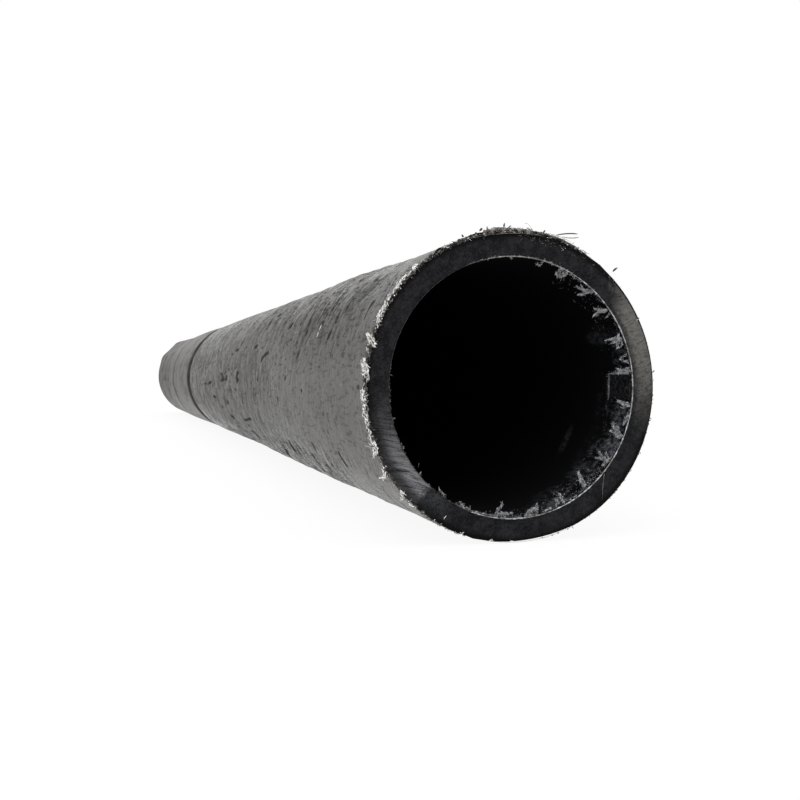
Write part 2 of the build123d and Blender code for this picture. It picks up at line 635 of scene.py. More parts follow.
sawnLook = {
    "colour": rgb(0.0022, 0.0022, 0.0027),
    "speckled": rgb(0.0168, 0.0168, 0.0190),
    # painted shade in a band just inside the rim
    "skin": rgb(0.0012, 0.0012, 0.0012),
    # painted highlights on two sectors where the saw marks catch the light, and a painted bluish sheen
    "leftHighlight": rgb(0.170, 0.170, 0.176),
    "blueSheen": rgb(0.030, 0.033, 0.038),
    "rightHighlight": rgb(0.112, 0.106, 0.098),
    "roughness": 0.75,
    "reliefHeight": 0.3 * mm,
    "arcMiddle": (-62 * mm, -120 * mm),   # the saw marks run round this place on the face
    "arcWander": 2.2 * mm,
    # grains per metre
    "arcGrain": 1400,
    "hatchGrain": 1400,
    "fineGrain": 1300,
    "mottleGrain": 520,
    "blotchGrain": 150,
    "wanderGrain": 110,
    # degrees where each has faded out, then where it is full; first those of the left painted highlight
    # and the painted bluish sheen below it, counted from the left, downwards
    "leftStart": (0, 45),
    "leftEnd": (48.5, 46.5),
    "stripStart": (46, 49),
    "stripEnd": (64, 52),
    "cuts": (48, 20),                     # off the middle of the deep cuts
    "cutsMiddle": 24,
    # then those of the right painted highlight, from the right, upwards
    "rightStart": (-22, 18),
    "rightEnd": (5, -11),                 # off its leaning edge
    "edgeAtBore": 35,
    "edgeLean": 1.0,                      # degrees for each mm outwards
    "edgeHighlight": (4, 0),                      # off the middle of the painted highlight along that edge
    "edgeHighlightMiddle": 1.5,                   # off that edge
    # radius where each has faded out, then where it is full
    "outward": (boreRadius + 3.5 * mm, outerRadius - 2.5 * mm),
    "inward": (boreRadius + 0.6 * mm, boreRadius + 3.4 * mm),
    "rimLine": (outerRadius - 0.45 * mm, outerRadius - 1.1 * mm),
    "rimShadeDepth": (outerRadius - 3.0 * mm, outerRadius - 1.0 * mm),
    "limits": {
        # value of a noise field where each has faded out, then where it is full
        "left": (0.30, 0.62),
        "right": (0.30, 0.58),
        "edgeHighlight": (0.4, 0.6),
        "speckle": (0.42, 0.60),
    },
}


def sawnFinish():
    finish = Finish("sawnLaminate")
    look, limits = sawnLook, sawnLook["limits"]
    place = finish.place()
    x, _, z = finish.parts(place)
    radius = (x * x + z * z) ** 0.5
    angle = finish.angle(x, z)
    leftAngle = finish.angle(x * -1.0, z * -1.0)
    # saw marks in arcs, slanting hatching, and four even grains
    arcX, arcZ = x - look["arcMiddle"][0], z - look["arcMiddle"][1]
    arc = (arcX * arcX + arcZ * arcZ) ** 0.5
    arc = arc + finish.evenNoise(place, look["wanderGrain"]) * look["arcWander"]
    marks = finish.evenNoise(finish.vector(arc, arcX * 0.07, 0.0), look["arcGrain"], rough=0.6)
    slanting = finish.vector(x * 0.2 + z * 0.1, z - x * 0.45, 0.0)
    hatch = finish.evenNoise(slanting, look["hatchGrain"], detail=2.0)
    grain = finish.evenNoise(place, look["fineGrain"], detail=4.0, rough=0.8)
    mottle = finish.evenNoise(place, look["mottleGrain"], rough=0.7)
    blotch = finish.evenNoise(place, look["blotchGrain"], detail=4.0, rough=0.65)
    outward = finish.step(radius, *look["outward"])
    # painted highlights on two sectors, one each side, where the saw marks catch the light, and a
    # painted bluish sheen in a strip below the left one
    rising = finish.turnStep(leftAngle + (blotch - 0.5) * 0.2, look["leftStart"])
    falling = finish.turnStep(leftAngle + (mottle - 0.5) * 0.04, look["leftEnd"])
    left = rising * falling * (1 - 0.8 * outward)
    left = left * finish.step(marks + (grain - 0.5) * 0.4, *limits["left"])
    strip = finish.turnStep(leftAngle + (blotch - 0.5) * 0.3, look["stripEnd"])
    strip = strip * finish.turnStep(leftAngle, look["stripStart"]) * (1 - 0.8 * outward)
    # the right one leans: it reaches further up at the rim than at the bore
    lean = (radius - boreRadius) * (math.radians(look["edgeLean"]) / mm)
    offEdge = angle - math.radians(look["edgeAtBore"]) - lean
    rightSector = finish.turnStep(offEdge + (blotch - 0.5) * 0.3, look["rightEnd"])
    rightSector = rightSector * finish.turnStep(angle + (blotch - 0.5) * 0.4, look["rightStart"])
    rimLine = finish.step(radius, *look["rimLine"])
    fromBore = radius + (mottle - 0.5) * 3 * mm
    inner = 0.20 + 0.80 * finish.step(fromBore, *look["inward"])
    # a painted highlight along that leaning edge
    edgeHighlight = finish.turnStep(abs(offEdge - math.radians(look["edgeHighlightMiddle"])), look["edgeHighlight"])
    edgeHighlight = edgeHighlight * outward * finish.step(mottle, *limits["edgeHighlight"])
    right = finish.larger(rightSector * inner, edgeHighlight * 0.6) * rimLine
    right = right * finish.step(hatch * 0.35 + grain * 0.45 + mottle * 0.2, *limits["right"])
    speckle = finish.step(grain * 0.45 + mottle * 0.25 + blotch * 0.30, *limits["speckle"])
    # painted shade in a band just inside the rim
    skin = finish.step(radius, *look["rimShadeDepth"])
    colour = finish.mix(speckle, look["colour"], look["speckled"])
    colour = finish.mix(skin, colour, look["skin"])
    colour = finish.mix(strip * speckle, colour, look["blueSheen"])
    colour = finish.mix(left, colour, look["leftHighlight"])
    colour = finish.mix(right, colour, look["rightHighlight"])
    cuts = finish.turnStep(abs(leftAngle - math.radians(look["cutsMiddle"])), look["cuts"])
    height = marks * cuts * 0.7 + hatch * 0.1 + grain * 0.35 + mottle * 0.3
    return finish.output(finish.surface(
        Base_Color=colour,
        Roughness=look["roughness"],
        Specular_IOR_Level=0.08,
        Normal=finish.bump(height, 0.6, look["reliefHeight"]),
    ))


boreLook = {
    "colour": rgb(0.0022, 0.0023, 0.0028),
    "dustAndSheen": rgb(0.130, 0.135, 0.155),
    "haze": rgb(0.026, 0.027, 0.030),
    "roughness": 0.9,
    "reliefHeight": 0.4 * mm,
    # grains per metre round and along
    "webGrain": (190, 90),
    "cloudGrain": (60, 70),
    "fleckGrain": (620, 330),
    # where the dust has faded out, then where it is full: to the right, in depth and in height
    "dustRight": (-4 * mm, 34 * mm),
    "dustDepth": (34 * mm, 1 * mm),
    "dustHeight": (34 * mm, 6 * mm),
    "limits": {
        # value of a noise field where each has faded out, then where it is full
        "dustAndSheen": (0.46, 0.66),
        "haze": (0.42, 0.60),
    },
    "hazes": [
        # degrees round the bore and depth in it, half of each size, and slant in mm per radian
        (-29, 48 * mm, 11, 4 * mm, 4),
        (23.5, 21 * mm, 4, 16 * mm, 0),
        (-100, 5 * mm, 16, 6 * mm, 0),
    ],
}


def boreFinish():
    finish = Finish("boreResin")
    look, limits = boreLook, boreLook["limits"]
    place = finish.place()
    x, y, z = finish.parts(place)
    angle = finish.angle(x, z)
    webs = finish.noise(place, *look["webGrain"], detail=4.0, rough=0.75)
    clouds = finish.noise(place, *look["cloudGrain"], rough=0.6)
    flecks = finish.noise(place, *look["fleckGrain"], detail=2.0)
    dustAndSheen = finish.step(webs * 0.4 + flecks * 0.25 + clouds * 0.35, *limits["dustAndSheen"])
    dustAndSheen = dustAndSheen * finish.step(x, *look["dustRight"]) * finish.step(y, *look["dustDepth"])
    dustAndSheen = dustAndSheen * finish.step(z, *look["dustHeight"])
    haze = 0.0
    for degrees, depth, halfDegrees, halfDepth, slant in look["hazes"]:
        turn = angle - math.radians(degrees)
        offRound = turn / math.radians(halfDegrees)
        offDepth = (y - depth - turn * slant * mm) / halfDepth
        haze = finish.larger(haze, finish.step(offRound * offRound + offDepth * offDepth, 1.0, 0.0))
    haze = haze * finish.step(webs * 0.6 + flecks * 0.4, *limits["haze"])
    colour = finish.mix(dustAndSheen, look["colour"], look["dustAndSheen"])
    colour = finish.mix(haze, colour, look["haze"])
    return finish.output(finish.surface(
        Base_Color=colour,
        Roughness=look["roughness"],
        Specular_IOR_Level=0.06,
        Normal=finish.bump(webs, 0.4, look["reliefHeight"]),
    ))


glassLook = {
    # colour where it is pale and where it is shaded, and how much it shines
    "whiteGlass": (rgb(0.98, 0.97, 0.95), rgb(0.80, 0.78, 0.75), 0.4),
    "paleGlass": (rgb(0.44, 0.45, 0.48), rgb(0.15, 0.16, 0.18), 0.4),
    "greyGlass": (rgb(0.24, 0.23, 0.215), rgb(0.08, 0.076, 0.07), 0.4),
    "sootyGlass": (rgb(0.060, 0.058, 0.052), rgb(0.010, 0.010, 0.010), 0.4),
    "sootyLiner": (rgb(0.022, 0.022, 0.024), rgb(0.003, 0.003, 0.003), 0.05),
    "brownGlass": (rgb(0.28, 0.25, 0.22), rgb(0.14, 0.12, 0.10), 0.4),
}
glassGrain = 900                # grains per metre


def glassFinish(name):
    pale, shaded, gloss = glassLook[name]
    finish = Finish(name)
    mottled = finish.evenNoise(finish.place(), glassGrain, detail=2.0)
    return finish.output(finish.surface(
        Base_Color=finish.mix(finish.step(mottled, 0.35, 0.65), shaded, pale),
        Roughness=0.45 + 0.2 * mottled,
        Specular_IOR_Level=gloss,
        Normal=finish.bump(mottled, 0.3, 0.1 * mm),
    ))


wound = woundFinish()
turned = turnedFinish()
sawn = sawnFinish()
bored = boreFinish()
whiteGlass, paleGlass, greyGlass, sootyGlass, sootyLiner, brownGlass = map(glassFinish, glassLook)
print("finishes made")


# The pipe itself

laminate = {
    "columns": [
        # grid lines round the pipe: from and to in degrees, and how many
        (60, 110, 26), (110, 128, 14), (128, 232, 110), (232, 250, 14), (250, 420, 50),
    ],
    "sawnBreak": 0.3 * mm,
    "recessDepth": 2.5 * mm,
    "recessWidth": 44 * mm,
    "recessCorner": 1.2 * mm,
    "lip": 1.0 * mm,
    "line": (228 * mm, 12 * mm, 0.8 * mm),    # past the recess, wide, deep
    "lineMargin": 2 * mm,        # how far the close stations go on past it
    "lineSpread": 0.66,          # half width of its worn section, in widths of the line
    "endChamfer": (4 * mm, 2 * mm),
    "boreDeburr": 0.8 * mm,
    "ripple": 0.22 * mm,
    "swells": [
        # place along, degrees round, height, half length, half width in degrees
        (60 * mm, 111, -0.4 * mm, 35 * mm, 25),
        (165 * mm, 111, 1.1 * mm, 60 * mm, 30),
        (330 * mm, 111, 0.5 * mm, 50 * mm, 30),
        (850 * mm, 108, 1.0 * mm, 350 * mm, 35),
        (520 * mm, 247, -1.9 * mm, 130 * mm, 24),
        (1180 * mm, 238, 1.1 * mm, 250 * mm, 35),
        (0 * mm, 279, -0.8 * mm, 60 * mm, 18),
        (0 * mm, 92, 0.5 * mm, 12 * mm, 24),
    ],
    "endFlare": 1.2 * mm,
    "endCorners": (120, 150),    # degrees round the end, where its edge stands out
    "cornerHeight": 1.9 * mm,
    "cornerWidth": 0.15,         # radians
    "foldHeight": 0.19 * mm,
    "waveHeight": 0.09 * mm,
    "hollowDepth": 0.30 * mm,
    "scuffHeight": 0.15 * mm,
    "sawHeight": 0.06 * mm,      # of the marks on the sawn face
    "boreHeight": 0.12 * mm,     # of the waves in the bore
    # sectors: from, to and soft edge in degrees round
    "foldsAbove": (112, 146, 16),
    "foldsBelow": (222, 250, 12),
    "underside": (262, 278, 25),
    # places along the pipe between which those folds start or end
    "aboveEnd": (300 * mm, 480 * mm),
    "belowStart": (40 * mm, 120 * mm),
    "belowEnd": (560 * mm, 700 * mm),
    "calmLength": 25 * mm,       # the relief dies out over it, before the recess
    "rimLength": 8 * mm,         # and over this one, towards the sawn face
    "frays": [
        # how far the edge at the saw cut is frayed, and where
        (0.18 * mm, (60, 250, 15)),
        (0.22 * mm, (104, 134, 6)),
    ],
    "fields": {
        # seed, how many waves, whole turns round from and to, wavelengths along from and to
        "swells": (11, 14, (-3, 3), (180 * mm, 700 * mm)),
        "folds": (12, 60, (-14, 14), (9 * mm, 24 * mm)),
        "waves": (13, 40, (-16, 16), (20 * mm, 60 * mm)),
        "ragged": (15, 40, (8, 60), (8 * mm, 30 * mm)),
        "saw": (21, 60, (20, 90), (4 * mm, 20 * mm)),
        "bore": (22, 30, (-8, 8), (30 * mm, 200 * mm)),
    },
}

strokes = {
    "roundWidth": 1.4 * mm,      # half the width of every stroke, measured round the pipe
    # in the wound surface: half width along the pipe in mm, strength, then the places that the stroke
    # runs through, each as mm from the sawn face and degrees round
    # dented hollows, which the wound finish paints nearly black as shade
    "dark": [
        # above the middle
        (1.5, 0.6, 26, 146, 26, 152.5), (1.5, 0.45, 29.5, 155.5, 31, 162),
        (4, 0.35, 35, 133, 32, 138.5), (5, 0.5, 55, 131, 51.5, 136, 53.5, 142),
        (2, 0.35, 81, 141, 81, 142.5), (2, 0.3, 69.5, 147.5), (2, 0.45, 71.5, 155.5, 71, 160),
        (2.5, 1.0, 82, 156, 82, 159), (1.5, 0.4, 91, 150, 100, 149.8),
        (1.8, 0.5, 98.5, 135, 100.5, 139, 99.5, 143, 97, 147.5), (2, 0.45, 101.5, 154, 98.5, 158.5),
        (2, 0.4, 112, 152, 114, 154), (2.5, 0.65, 131, 137.5, 127.5, 140, 124.5, 145, 125.5, 149.5),
        (2.5, 0.5, 125.5, 149.5, 127.5, 153, 133, 160.5), (3, 0.6, 141, 164, 143, 168),
        (3, 0.45, 155, 165), (2.5, 0.6, 153.5, 142, 152.5, 145, 147, 148.5, 141, 153.5, 140, 155.5),
        (3, 0.3, 177.5, 146, 182, 150.5), (2, 0.5, 177.5, 157, 191, 158),
        (4, 0.6, 204.5, 146, 204.5, 149), (3, 0.4, 206, 158.7, 214, 158.7), (5, 0.5, 191, 166.7),
        (4, 0.5, 209, 165), (2, 0.8, 137, 120.5, 147, 118.6), (3, 0.3, 79, 126, 78.5, 128),
        (5, 0.35, 143, 126, 147, 127.5), (3, 0.3, 110, 128, 137, 121.7), (3, 0.25, 89, 125, 102.5, 121),
        (7, 0.25, 190, 137, 195, 135.5), (4, 0.5, 232, 144, 232, 146), (5, 0.5, 239, 151),
        (4, 0.35, 265, 150), (8, 1.0, 292, 134.5, 292, 135.5), (6, 0.6, 274, 159),
        (8, 0.9, 305, 157.5, 305, 158.5), (12, 0.5, 340, 132), (13, 0.5, 353, 157), (9, 0.6, 373, 141),
        (14, 0.5, 402, 135), (10, 0.9, 400, 158), (8, 0.6, 421, 161), (9, 0.3, 484, 156),
        (18, 0.35, 575, 155),
        # along the middle
        (1.5, 0.35, 65, 164, 65, 169), (1.2, 0.2, 79, 160, 79, 172), (2.5, 0.4, 127.5, 175),
        (2.5, 0.6, 124, 183), (3, 0.5, 143, 165, 143, 167.5), (3, 0.5, 149, 170),
        (2, 0.4, 150, 173.5, 153.5, 179.5), (3.5, 0.8, 169, 177, 169, 178), (3, 0.3, 174, 179.5),
        (4, 0.35, 175, 167.5), (4, 0.45, 209, 177.5), (2, 0.3, 224.5, 173.5, 225, 179),
        (3, 1.0, 244, 163, 252.5, 164, 257.5, 165.3, 260, 167), (2.5, 0.6, 267.5, 172.5, 267.5, 179),
        (2.5, 0.35, 255, 176.5, 250, 179.5), (6, 0.3, 310, 169), (7, 0.85, 366, 174.5, 369, 176.6),
        (8, 0.95, 371, 177.8, 367, 179.6), (10, 0.7, 371, 181), (7, 0.6, 380, 170, 380, 171),
        (9, 0.5, 399, 175.5), (9, 0.5, 420, 171.5, 420, 172.5), (12, 0.6, 411, 181),
        (9, 0.5, 440, 173.5, 442, 175.6), (8, 0.6, 432, 177, 436, 180),
        (14, 0.6, 465, 175.2, 458, 177.6), (16, 0.72, 453, 178.9, 461, 180.9),
        (13, 0.45, 480, 165.5, 480, 167.5), (13, 0.35, 484, 178.5, 522, 176.2),
        (14, 0.35, 561, 165.4, 615, 160.5), (13, 0.45, 638, 168, 676, 170.4), (8, 0.3, 361, 166),
        (4, 0.5, 10, 180), (1.5, 0.5, 80, 186.5, 80, 187.6), (3, 0.35, 140, 183.5),
        (3, 0.35, 152.5, 186), (3, 0.25, 180, 184.7), (3, 0.4, 189, 187.5),
        (3, 0.6, 194, 187.5, 196, 190.5), (5, 0.5, 290, 187, 292.5, 189.7), (7, 0.4, 357, 186),
        (9, 0.65, 380, 186.5), (11, 0.6, 411, 187), (10, 0.5, 441, 187.7),
        (11, 0.75, 547, 182.7, 560, 183.5), (9, 0.55, 572, 184.7, 584, 184.1),
        (13, 0.35, 622, 186, 649, 184.6), (12, 0.4, 592, 191.5), (10, 0.4, 467, 194),
        (12, 0.8, 532, 194, 532, 195), (13, 0.3, 495, 184.6, 522, 184.6), (12, 0.6, 445, 196, 449, 198),
        (9, 0.4, 361, 198.8), (10, 0.4, 388, 200),
        # below the middle
        (10, 0.6, 498, 202), (3, 0.35, 85, 203), (3, 0.35, 120, 204.7), (3, 0.3, 156, 203.5),
        (3, 0.3, 99, 204), (5, 0.45, 287.5, 203), (5, 0.4, 310, 204), (8, 0.7, 344, 206, 382, 209),
        (9, 0.55, 388, 205.5), (14, 0.7, 457, 208.4, 457, 211), (8, 0.6, 378, 212.4, 378, 213.6),
        (3, 0.4, 82.5, 207), (2.5, 0.7, 77.5, 209.6, 77, 216), (3, 0.3, 40, 214.5),
        (3, 0.5, 135, 209, 135, 212), (3, 0.35, 97.5, 214), (4, 0.6, 190, 212.7, 187.5, 216, 185, 219),
        (3, 0.9, 156, 217.5, 160, 220.6, 166, 224.8, 170, 228), (3, 0.6, 170, 228, 177.5, 232.7),
        (3.5, 0.75, 210, 213.3, 215, 216, 217.5, 218, 217.5, 220.6), (5, 0.5, 242.5, 211.7, 240, 216.4),
        (6, 0.4, 230, 224.3, 227.5, 227.5), (8, 1.0, 267.5, 224, 272.5, 226.4, 280, 229.6, 285, 232),
        (5, 0.45, 277, 215.4, 272, 217.5), (8, 0.35, 300, 212, 310, 213),
        (6, 0.5, 302, 225.5, 305, 226.4), (6, 0.35, 320, 219.6), (10, 0.4, 327, 225, 327, 227),
        (3, 0.3, 120, 228.5, 130, 231), (3, 0.3, 127.5, 222.7), (3, 0.3, 140, 229.6),
        (3, 0.3, 85, 222.7, 110, 231.7), (14, 0.7, 380, 218.5, 380, 221.5),
        (12, 0.5, 431, 221.5, 431, 222.5), (20, 0.35, 460, 218, 460, 220),
    ],
    # raised strokes, which the wound finish paints lighter as highlights
    "pale": [
        (2, 0.5, 107, 152, 107, 154.6), (2, 0.4, 106, 155.5, 106, 158.6), (2, 0.35, 79, 148, 77, 158),
        (3, 0.4, 44, 134, 46, 138.5), (3, 0.25, 130, 129, 131, 136), (2, 0.4, 117, 153),
        (6, 0.35, 167, 140.5), (5, 0.5, 353, 141, 353, 143), (4, 0.5, 384, 176, 384, 178),
        (7, 0.5, 413, 174.5, 413, 177.5), (10, 0.5, 433, 184), (5, 0.5, 89, 228),
        (8, 0.8, 247, 226.5, 247, 229.6), (12, 0.4, 252, 219, 252, 221), (4, 0.3, 180, 229),
        (5, 0.3, 207, 228),
    ],
}
zones = {"wound": 0, "turned": 1, "sawn": 2, "bore": 3}
recessStart = woundEnd + laminate["lip"]
recessEnd = recessStart + laminate["recessWidth"]


def run(start, end, count):
    # stations on a straight run of the section, the last one left to the next run
    t = np.arange(count)[:, None] / count
    return np.array(start) * (1 - t) + np.array(end) * t


def bendRun(middle, radius, fromDegrees, toDegrees, count):
    # stations on an arc of the section; 0 degrees points away from the axis, 90 along the pipe
    angle = np.radians(fromDegrees + (toDegrees - fromDegrees) * np.arange(count) / count)
    return np.array(middle) + radius * np.stack([np.cos(angle), np.sin(angle)], axis=-1)


def laminateSection():
    # the closed outline of the wall as (radius, along) stations, and the zone of each
    wide, lip, corner = outerRadius, laminate["lip"], laminate["recessCorner"]
    floor = wide - laminate["recessDepth"]
    edge = laminate["sawnBreak"]
    chamferLong, chamferDeep = laminate["endChamfer"]
    deburr = laminate["boreDeburr"]
    tip = turnedRadius - chamferDeep
    linePast, lineWide, _ = laminate["line"]
    lineStart = recessEnd + linePast - lineWide / 2 - laminate["lineMargin"]
    lineEnd = lineStart + lineWide + 2 * laminate["lineMargin"]
    runs = [
        ("wound", run((wide, edge), (wide, 2 * mm), 4)),
        ("wound", run((wide, 2 * mm), (wide, 260 * mm), 172)),
        ("wound", run((wide, 260 * mm), (wide, 480 * mm), 92)),
        ("wound", run((wide, 480 * mm), (wide, woundEnd - 8 * mm), 52)),
        ("wound", run((wide, woundEnd - 8 * mm), (wide, woundEnd), 5)),
        ("wound", bendRun((wide - lip, woundEnd), lip, 0, 90, 4)),
        ("turned", run((wide - lip, recessStart), (floor + corner, recessStart), 2)),
        ("turned", bendRun((floor + corner, recessStart + corner), corner, 270, 180, 3)),
        ("turned", run((floor, recessStart + corner), (floor, recessEnd - corner), 5)),
        ("turned", bendRun((floor + corner, recessEnd - corner), corner, 180, 90, 3)),
        ("turned", run((floor + corner, recessEnd), (turnedRadius - lip, recessEnd), 2)),
        ("turned", bendRun((turnedRadius - lip, recessEnd + lip), lip, -90, 0, 4)),
        ("turned", run((turnedRadius, recessEnd + lip), (turnedRadius, lineStart), 14)),
        ("turned", run((turnedRadius, lineStart), (turnedRadius, lineEnd), 10)),
        ("turned", run((turnedRadius, lineEnd), (turnedRadius, pipeLength - chamferLong), 22)),
        ("turned", run((turnedRadius, pipeLength - chamferLong), (tip, pipeLength), 3)),
        ("turned", run((tip, pipeLength), (boreRadius + deburr, pipeLength), 5)),
        ("turned", run((boreRadius + deburr, pipeLength), (boreRadius, pipeLength - deburr), 2)),
        ("bore", run((boreRadius, pipeLength - deburr), (boreRadius, 60 * mm), 14)),
        ("bore", run((boreRadius, 60 * mm), (boreRadius, 2 * mm), 14)),
        ("bore", run((boreRadius, 2 * mm), (boreRadius, edge), 4)),
        ("sawn", run((boreRadius, edge), (boreRadius + edge, 0), 2)),
        ("sawn", run((boreRadius + edge, 0), (wide - edge, 0), 16)),
        ("sawn", run((wide - edge, 0), (wide, edge), 2)),
    ]
    stations = np.concatenate([stretch for _, stretch in runs])
    zone = np.concatenate([np.full(len(stretch), zones[name]) for name, stretch in runs])
    return stations, zone


def outsideSwell(along, angle):
    # how far the outside stands off a true cylinder: slow ripples, broad swells, the flare and
    # the two corners of the last stretch, and nothing that would press into the floor
    swell = laminate["ripple"] * ripple(*laminate["fields"]["swells"])(along, angle)
    for place, degrees, height, halfLength, halfWidth in laminate["swells"]:
        alongPart = (along - place) / halfLength
        roundPart = arcDistance(angle, math.radians(degrees)) / math.radians(halfWidth)
        swell = swell + height * np.exp(-alongPart ** 2 - roundPart ** 2)
    swell = swell + laminate["endFlare"] * ease(pipeLength - 200 * mm, pipeLength - 15 * mm, along)
    for degrees in laminate["endCorners"]:
        corner = np.exp(-(arcDistance(angle, math.radians(degrees)) / laminate["cornerWidth"]) ** 2)
        atEnd = ease(pipeLength - 16 * mm, pipeLength - 4 * mm, along)
        swell = swell + laminate["cornerHeight"] * corner * atEnd
    underside = sector(angle, *laminate["underside"])
    return np.where(swell > 0, swell * (1 - underside), swell)


def strokeField(lines, along, angle):
    # the strongest of a number of soft strokes, each exp(-d ^ 2), where d is the distance from the
    # stroke's line in half widths: along the pipe its own, and round it the one that all share
    arc = math.radians(1) * outerRadius / strokes["roundWidth"]
    field = np.zeros(along.shape)
    for halfWidth, strength, *places in lines:
        corners = list(zip(places[::2], places[1::2]))
        for (start, degrees), (end, endDegrees) in zip(corners, corners[1:] or corners):
            offAlong = (along / mm - start) / halfWidth
            offRound = (np.degrees(angle) - degrees) * arc
            wayAlong, wayRound = (end - start) / halfWidth, (endDegrees - degrees) * arc
            t = (offAlong * wayAlong + offRound * wayRound) / (wayAlong ** 2 + wayRound ** 2 + 1e-9)
            t = np.clip(t, 0, 1)
            away = (offAlong - t * wayAlong) ** 2 + (offRound - t * wayRound) ** 2
            field = np.maximum(field, strength * np.exp(-away))
    return field


def woundRelief(along, angle, hollows, scuffsAndHighlights):
    # folds round the pipe above and below, shallow waves elsewhere, the hollows and scuffs, and a
    # frayed edge at the saw cut
    slid = along - woundLook["slant"] * np.sqrt((angle - np.pi) ** 2 + woundLook["slantEase"])
    folds = ripple(*laminate["fields"]["folds"])(slid, angle)
    waves = ripple(*laminate["fields"]["waves"])(along, angle)
    above = sector(angle, *laminate["foldsAbove"]) * (1 - ease(*laminate["aboveEnd"], along))
    below = sector(angle, *laminate["foldsBelow"]) * ease(*laminate["belowStart"], along)
    below = below * (1 - ease(*laminate["belowEnd"], along))
    relief = laminate["foldHeight"] * folds * (above + 1.5 * below) + laminate["waveHeight"] * waves
    relief = relief - laminate["hollowDepth"] * hollows + laminate["scuffHeight"] * scuffsAndHighlights
    calm = 1 - ease(woundEnd - laminate["calmLength"], woundEnd, along)
    rim = ease(0, laminate["rimLength"], along)
    ragged = ripple(*laminate["fields"]["ragged"])(along, angle)
    rough = sum(height * sector(angle, *span) for height, span in laminate["frays"])
    frayed = rough * ragged * (1 - rim)
    return relief * rim * calm + frayed


def stopLine(along):
    # a shallow line with worn edges: its section is (1 - off ^ 2) ^ 2
    past, wide, deep = laminate["line"]
    off = np.clip((along - recessEnd - past) / (wide * laminate["lineSpread"]), -1, 1)
    return -deep * (1 - off ** 2) ** 2


def makeLaminate():
    # radius and along as functions of the angle and of the way round the wall's section
    stations, zone = laminateSection()
    ahead = np.roll(stations, -1, axis=0) - np.roll(stations, 1, axis=0)
    ahead /= np.linalg.norm(ahead, axis=1, keepdims=True)
    away, past = ahead[:, 1:], -ahead[:, :1]          # the section's outward direction
    turns = [np.linspace(*span, endpoint=False) for span in laminate["columns"]]
    angle = np.radians(np.concatenate(turns))[None, :]
    radius, along = stations[:, :1], stations[:, 1:]
    angleGrid, alongGrid = np.broadcast_arrays(angle, along)
    onWound = (zone == zones["wound"])[:, None]
    onOutside = (radius > (outerRadius + boreRadius) / 2) & (along > recessEnd)
    onSawn = (zone == zones["sawn"])[:, None]
    onBore = (zone == zones["bore"])[:, None]
    # the hollows are dented and the pale strokes raised here; the wound finish paints shade into the
    # hollows and highlights onto the pale strokes
    hollows = strokeField(strokes["dark"], alongGrid, angleGrid)
    scuffsAndHighlights = strokeField(strokes["pale"], alongGrid, angleGrid)
    relief = np.where(onWound, woundRelief(alongGrid, angleGrid, hollows, scuffsAndHighlights), 0)
    relief = relief + np.where(onOutside, stopLine(along), 0)
    sawnMarks = ripple(*laminate["fields"]["saw"])(radius + 0 * angle, angleGrid)
    relief = relief + np.where(onSawn, laminate["sawHeight"] * sawnMarks, 0)
    boreWaves = ripple(*laminate["fields"]["bore"])(alongGrid, angleGrid)
    relief = relief + np.where(onBore, laminate["boreHeight"] * boreWaves, 0)
    swell = outsideSwell(alongGrid, angleGrid) * ease(boreRadius + 1 * mm, outerRadius - 3 * mm, radius)
    points = onPipe(angle, radius + swell + away * relief, along + past * relief)
    rows, columns = points.shape[:2]
    ringZone = np.repeat(zone, columns)
    finishes = [wound, turned, sawn, bored]
    values = {"hollows": hollows, "scuffsAndHighlights": scuffsAndHighlights}
    faces = [ringFaces(rows, columns)]
    piece = newPiece("pipeLaminate", points.reshape(-1, 3), faces, finishes, ringZone, values)
    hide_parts("conduit_pipe")


makeLaminate()


# Torn edges: a ragged ridge of resin round the rim and round the mouth of the bore

def raggedRing(name, radius, along, height, width, steps, finishes, finishAt):
    # a five-sided section carried round a circle; the radius, height and width are functions of
    # the angle, and so is the number of the finish
    angle = np.arange(steps) * 2 * np.pi / steps
    corner = (np.arange(5) * 2 * np.pi / 5)[:, None]
    tall, wide = height(angle)[None, :], width(angle)[None, :]
    away = radius(angle)[None, :] + tall * np.cos(corner)
    points = onPipe(angle[None, :], away, along + wide * np.sin(corner))
    newPiece(name, points.reshape(-1, 3), [ringFaces(5, steps)], finishes, np.tile(finishAt(angle), 5))


rimBurr = {
    "steps": 1500,
    "height": 0.85 * mm,
    "width": 0.8 * mm,
    # sectors: from, to and soft edge in degrees round the rim
    "tall": (104, 235, 12),
    "wide": (62, 235, 10),
    "greyLeft": (85, 102, 4),
    "greyRight": (62, 85, 4),
    # fields: seed, how many waves, whole turns round from and to, and wavelengths along, which
    # don't matter here, because the ring lies at one place
    "teeth": (31, 90, (20, 260), (1, 2)),
    "widths": (32, 60, (20, 160), (1, 2)),
    "greyer": (36, 60, (10, 140), (1, 2)),
    # how far matted glass stands above the outside, in mm, at degrees round the rim
    "crest": [
        (58, 0), (61, 0.3), (66, 1.3), (70, 1.7), (75, 1.7), (79, 1.5), (82, 1.3), (86, 1.7), (90, 1.9),
        (95, 2.0), (99, 1.9), (102, 1.1), (106, 0.8), (111, 0.5), (118, 0.2), (135, 0.1), (160, 0),
    ],
}


def crestHeight(angle):
    places, heights = zip(*rimBurr["crest"])
    return np.interp(np.degrees(angle) % 360, places, heights) * mm


def rimRadius(angle):
    return outerRadius - 0.25 * mm + crestHeight(angle) * 0.45


def rimHeight(angle):
    # sharp teeth where the fast field peaks, tall down the left side only
    teeth = ease(-1.2, 2.0, ripple(*rimBurr["teeth"])(0, angle))
    tall = rimBurr["height"] * sector(angle, *rimBurr["tall"]) * teeth
    return tall + crestHeight(angle) * (0.46 + 0.14 * teeth) + 0.04 * mm


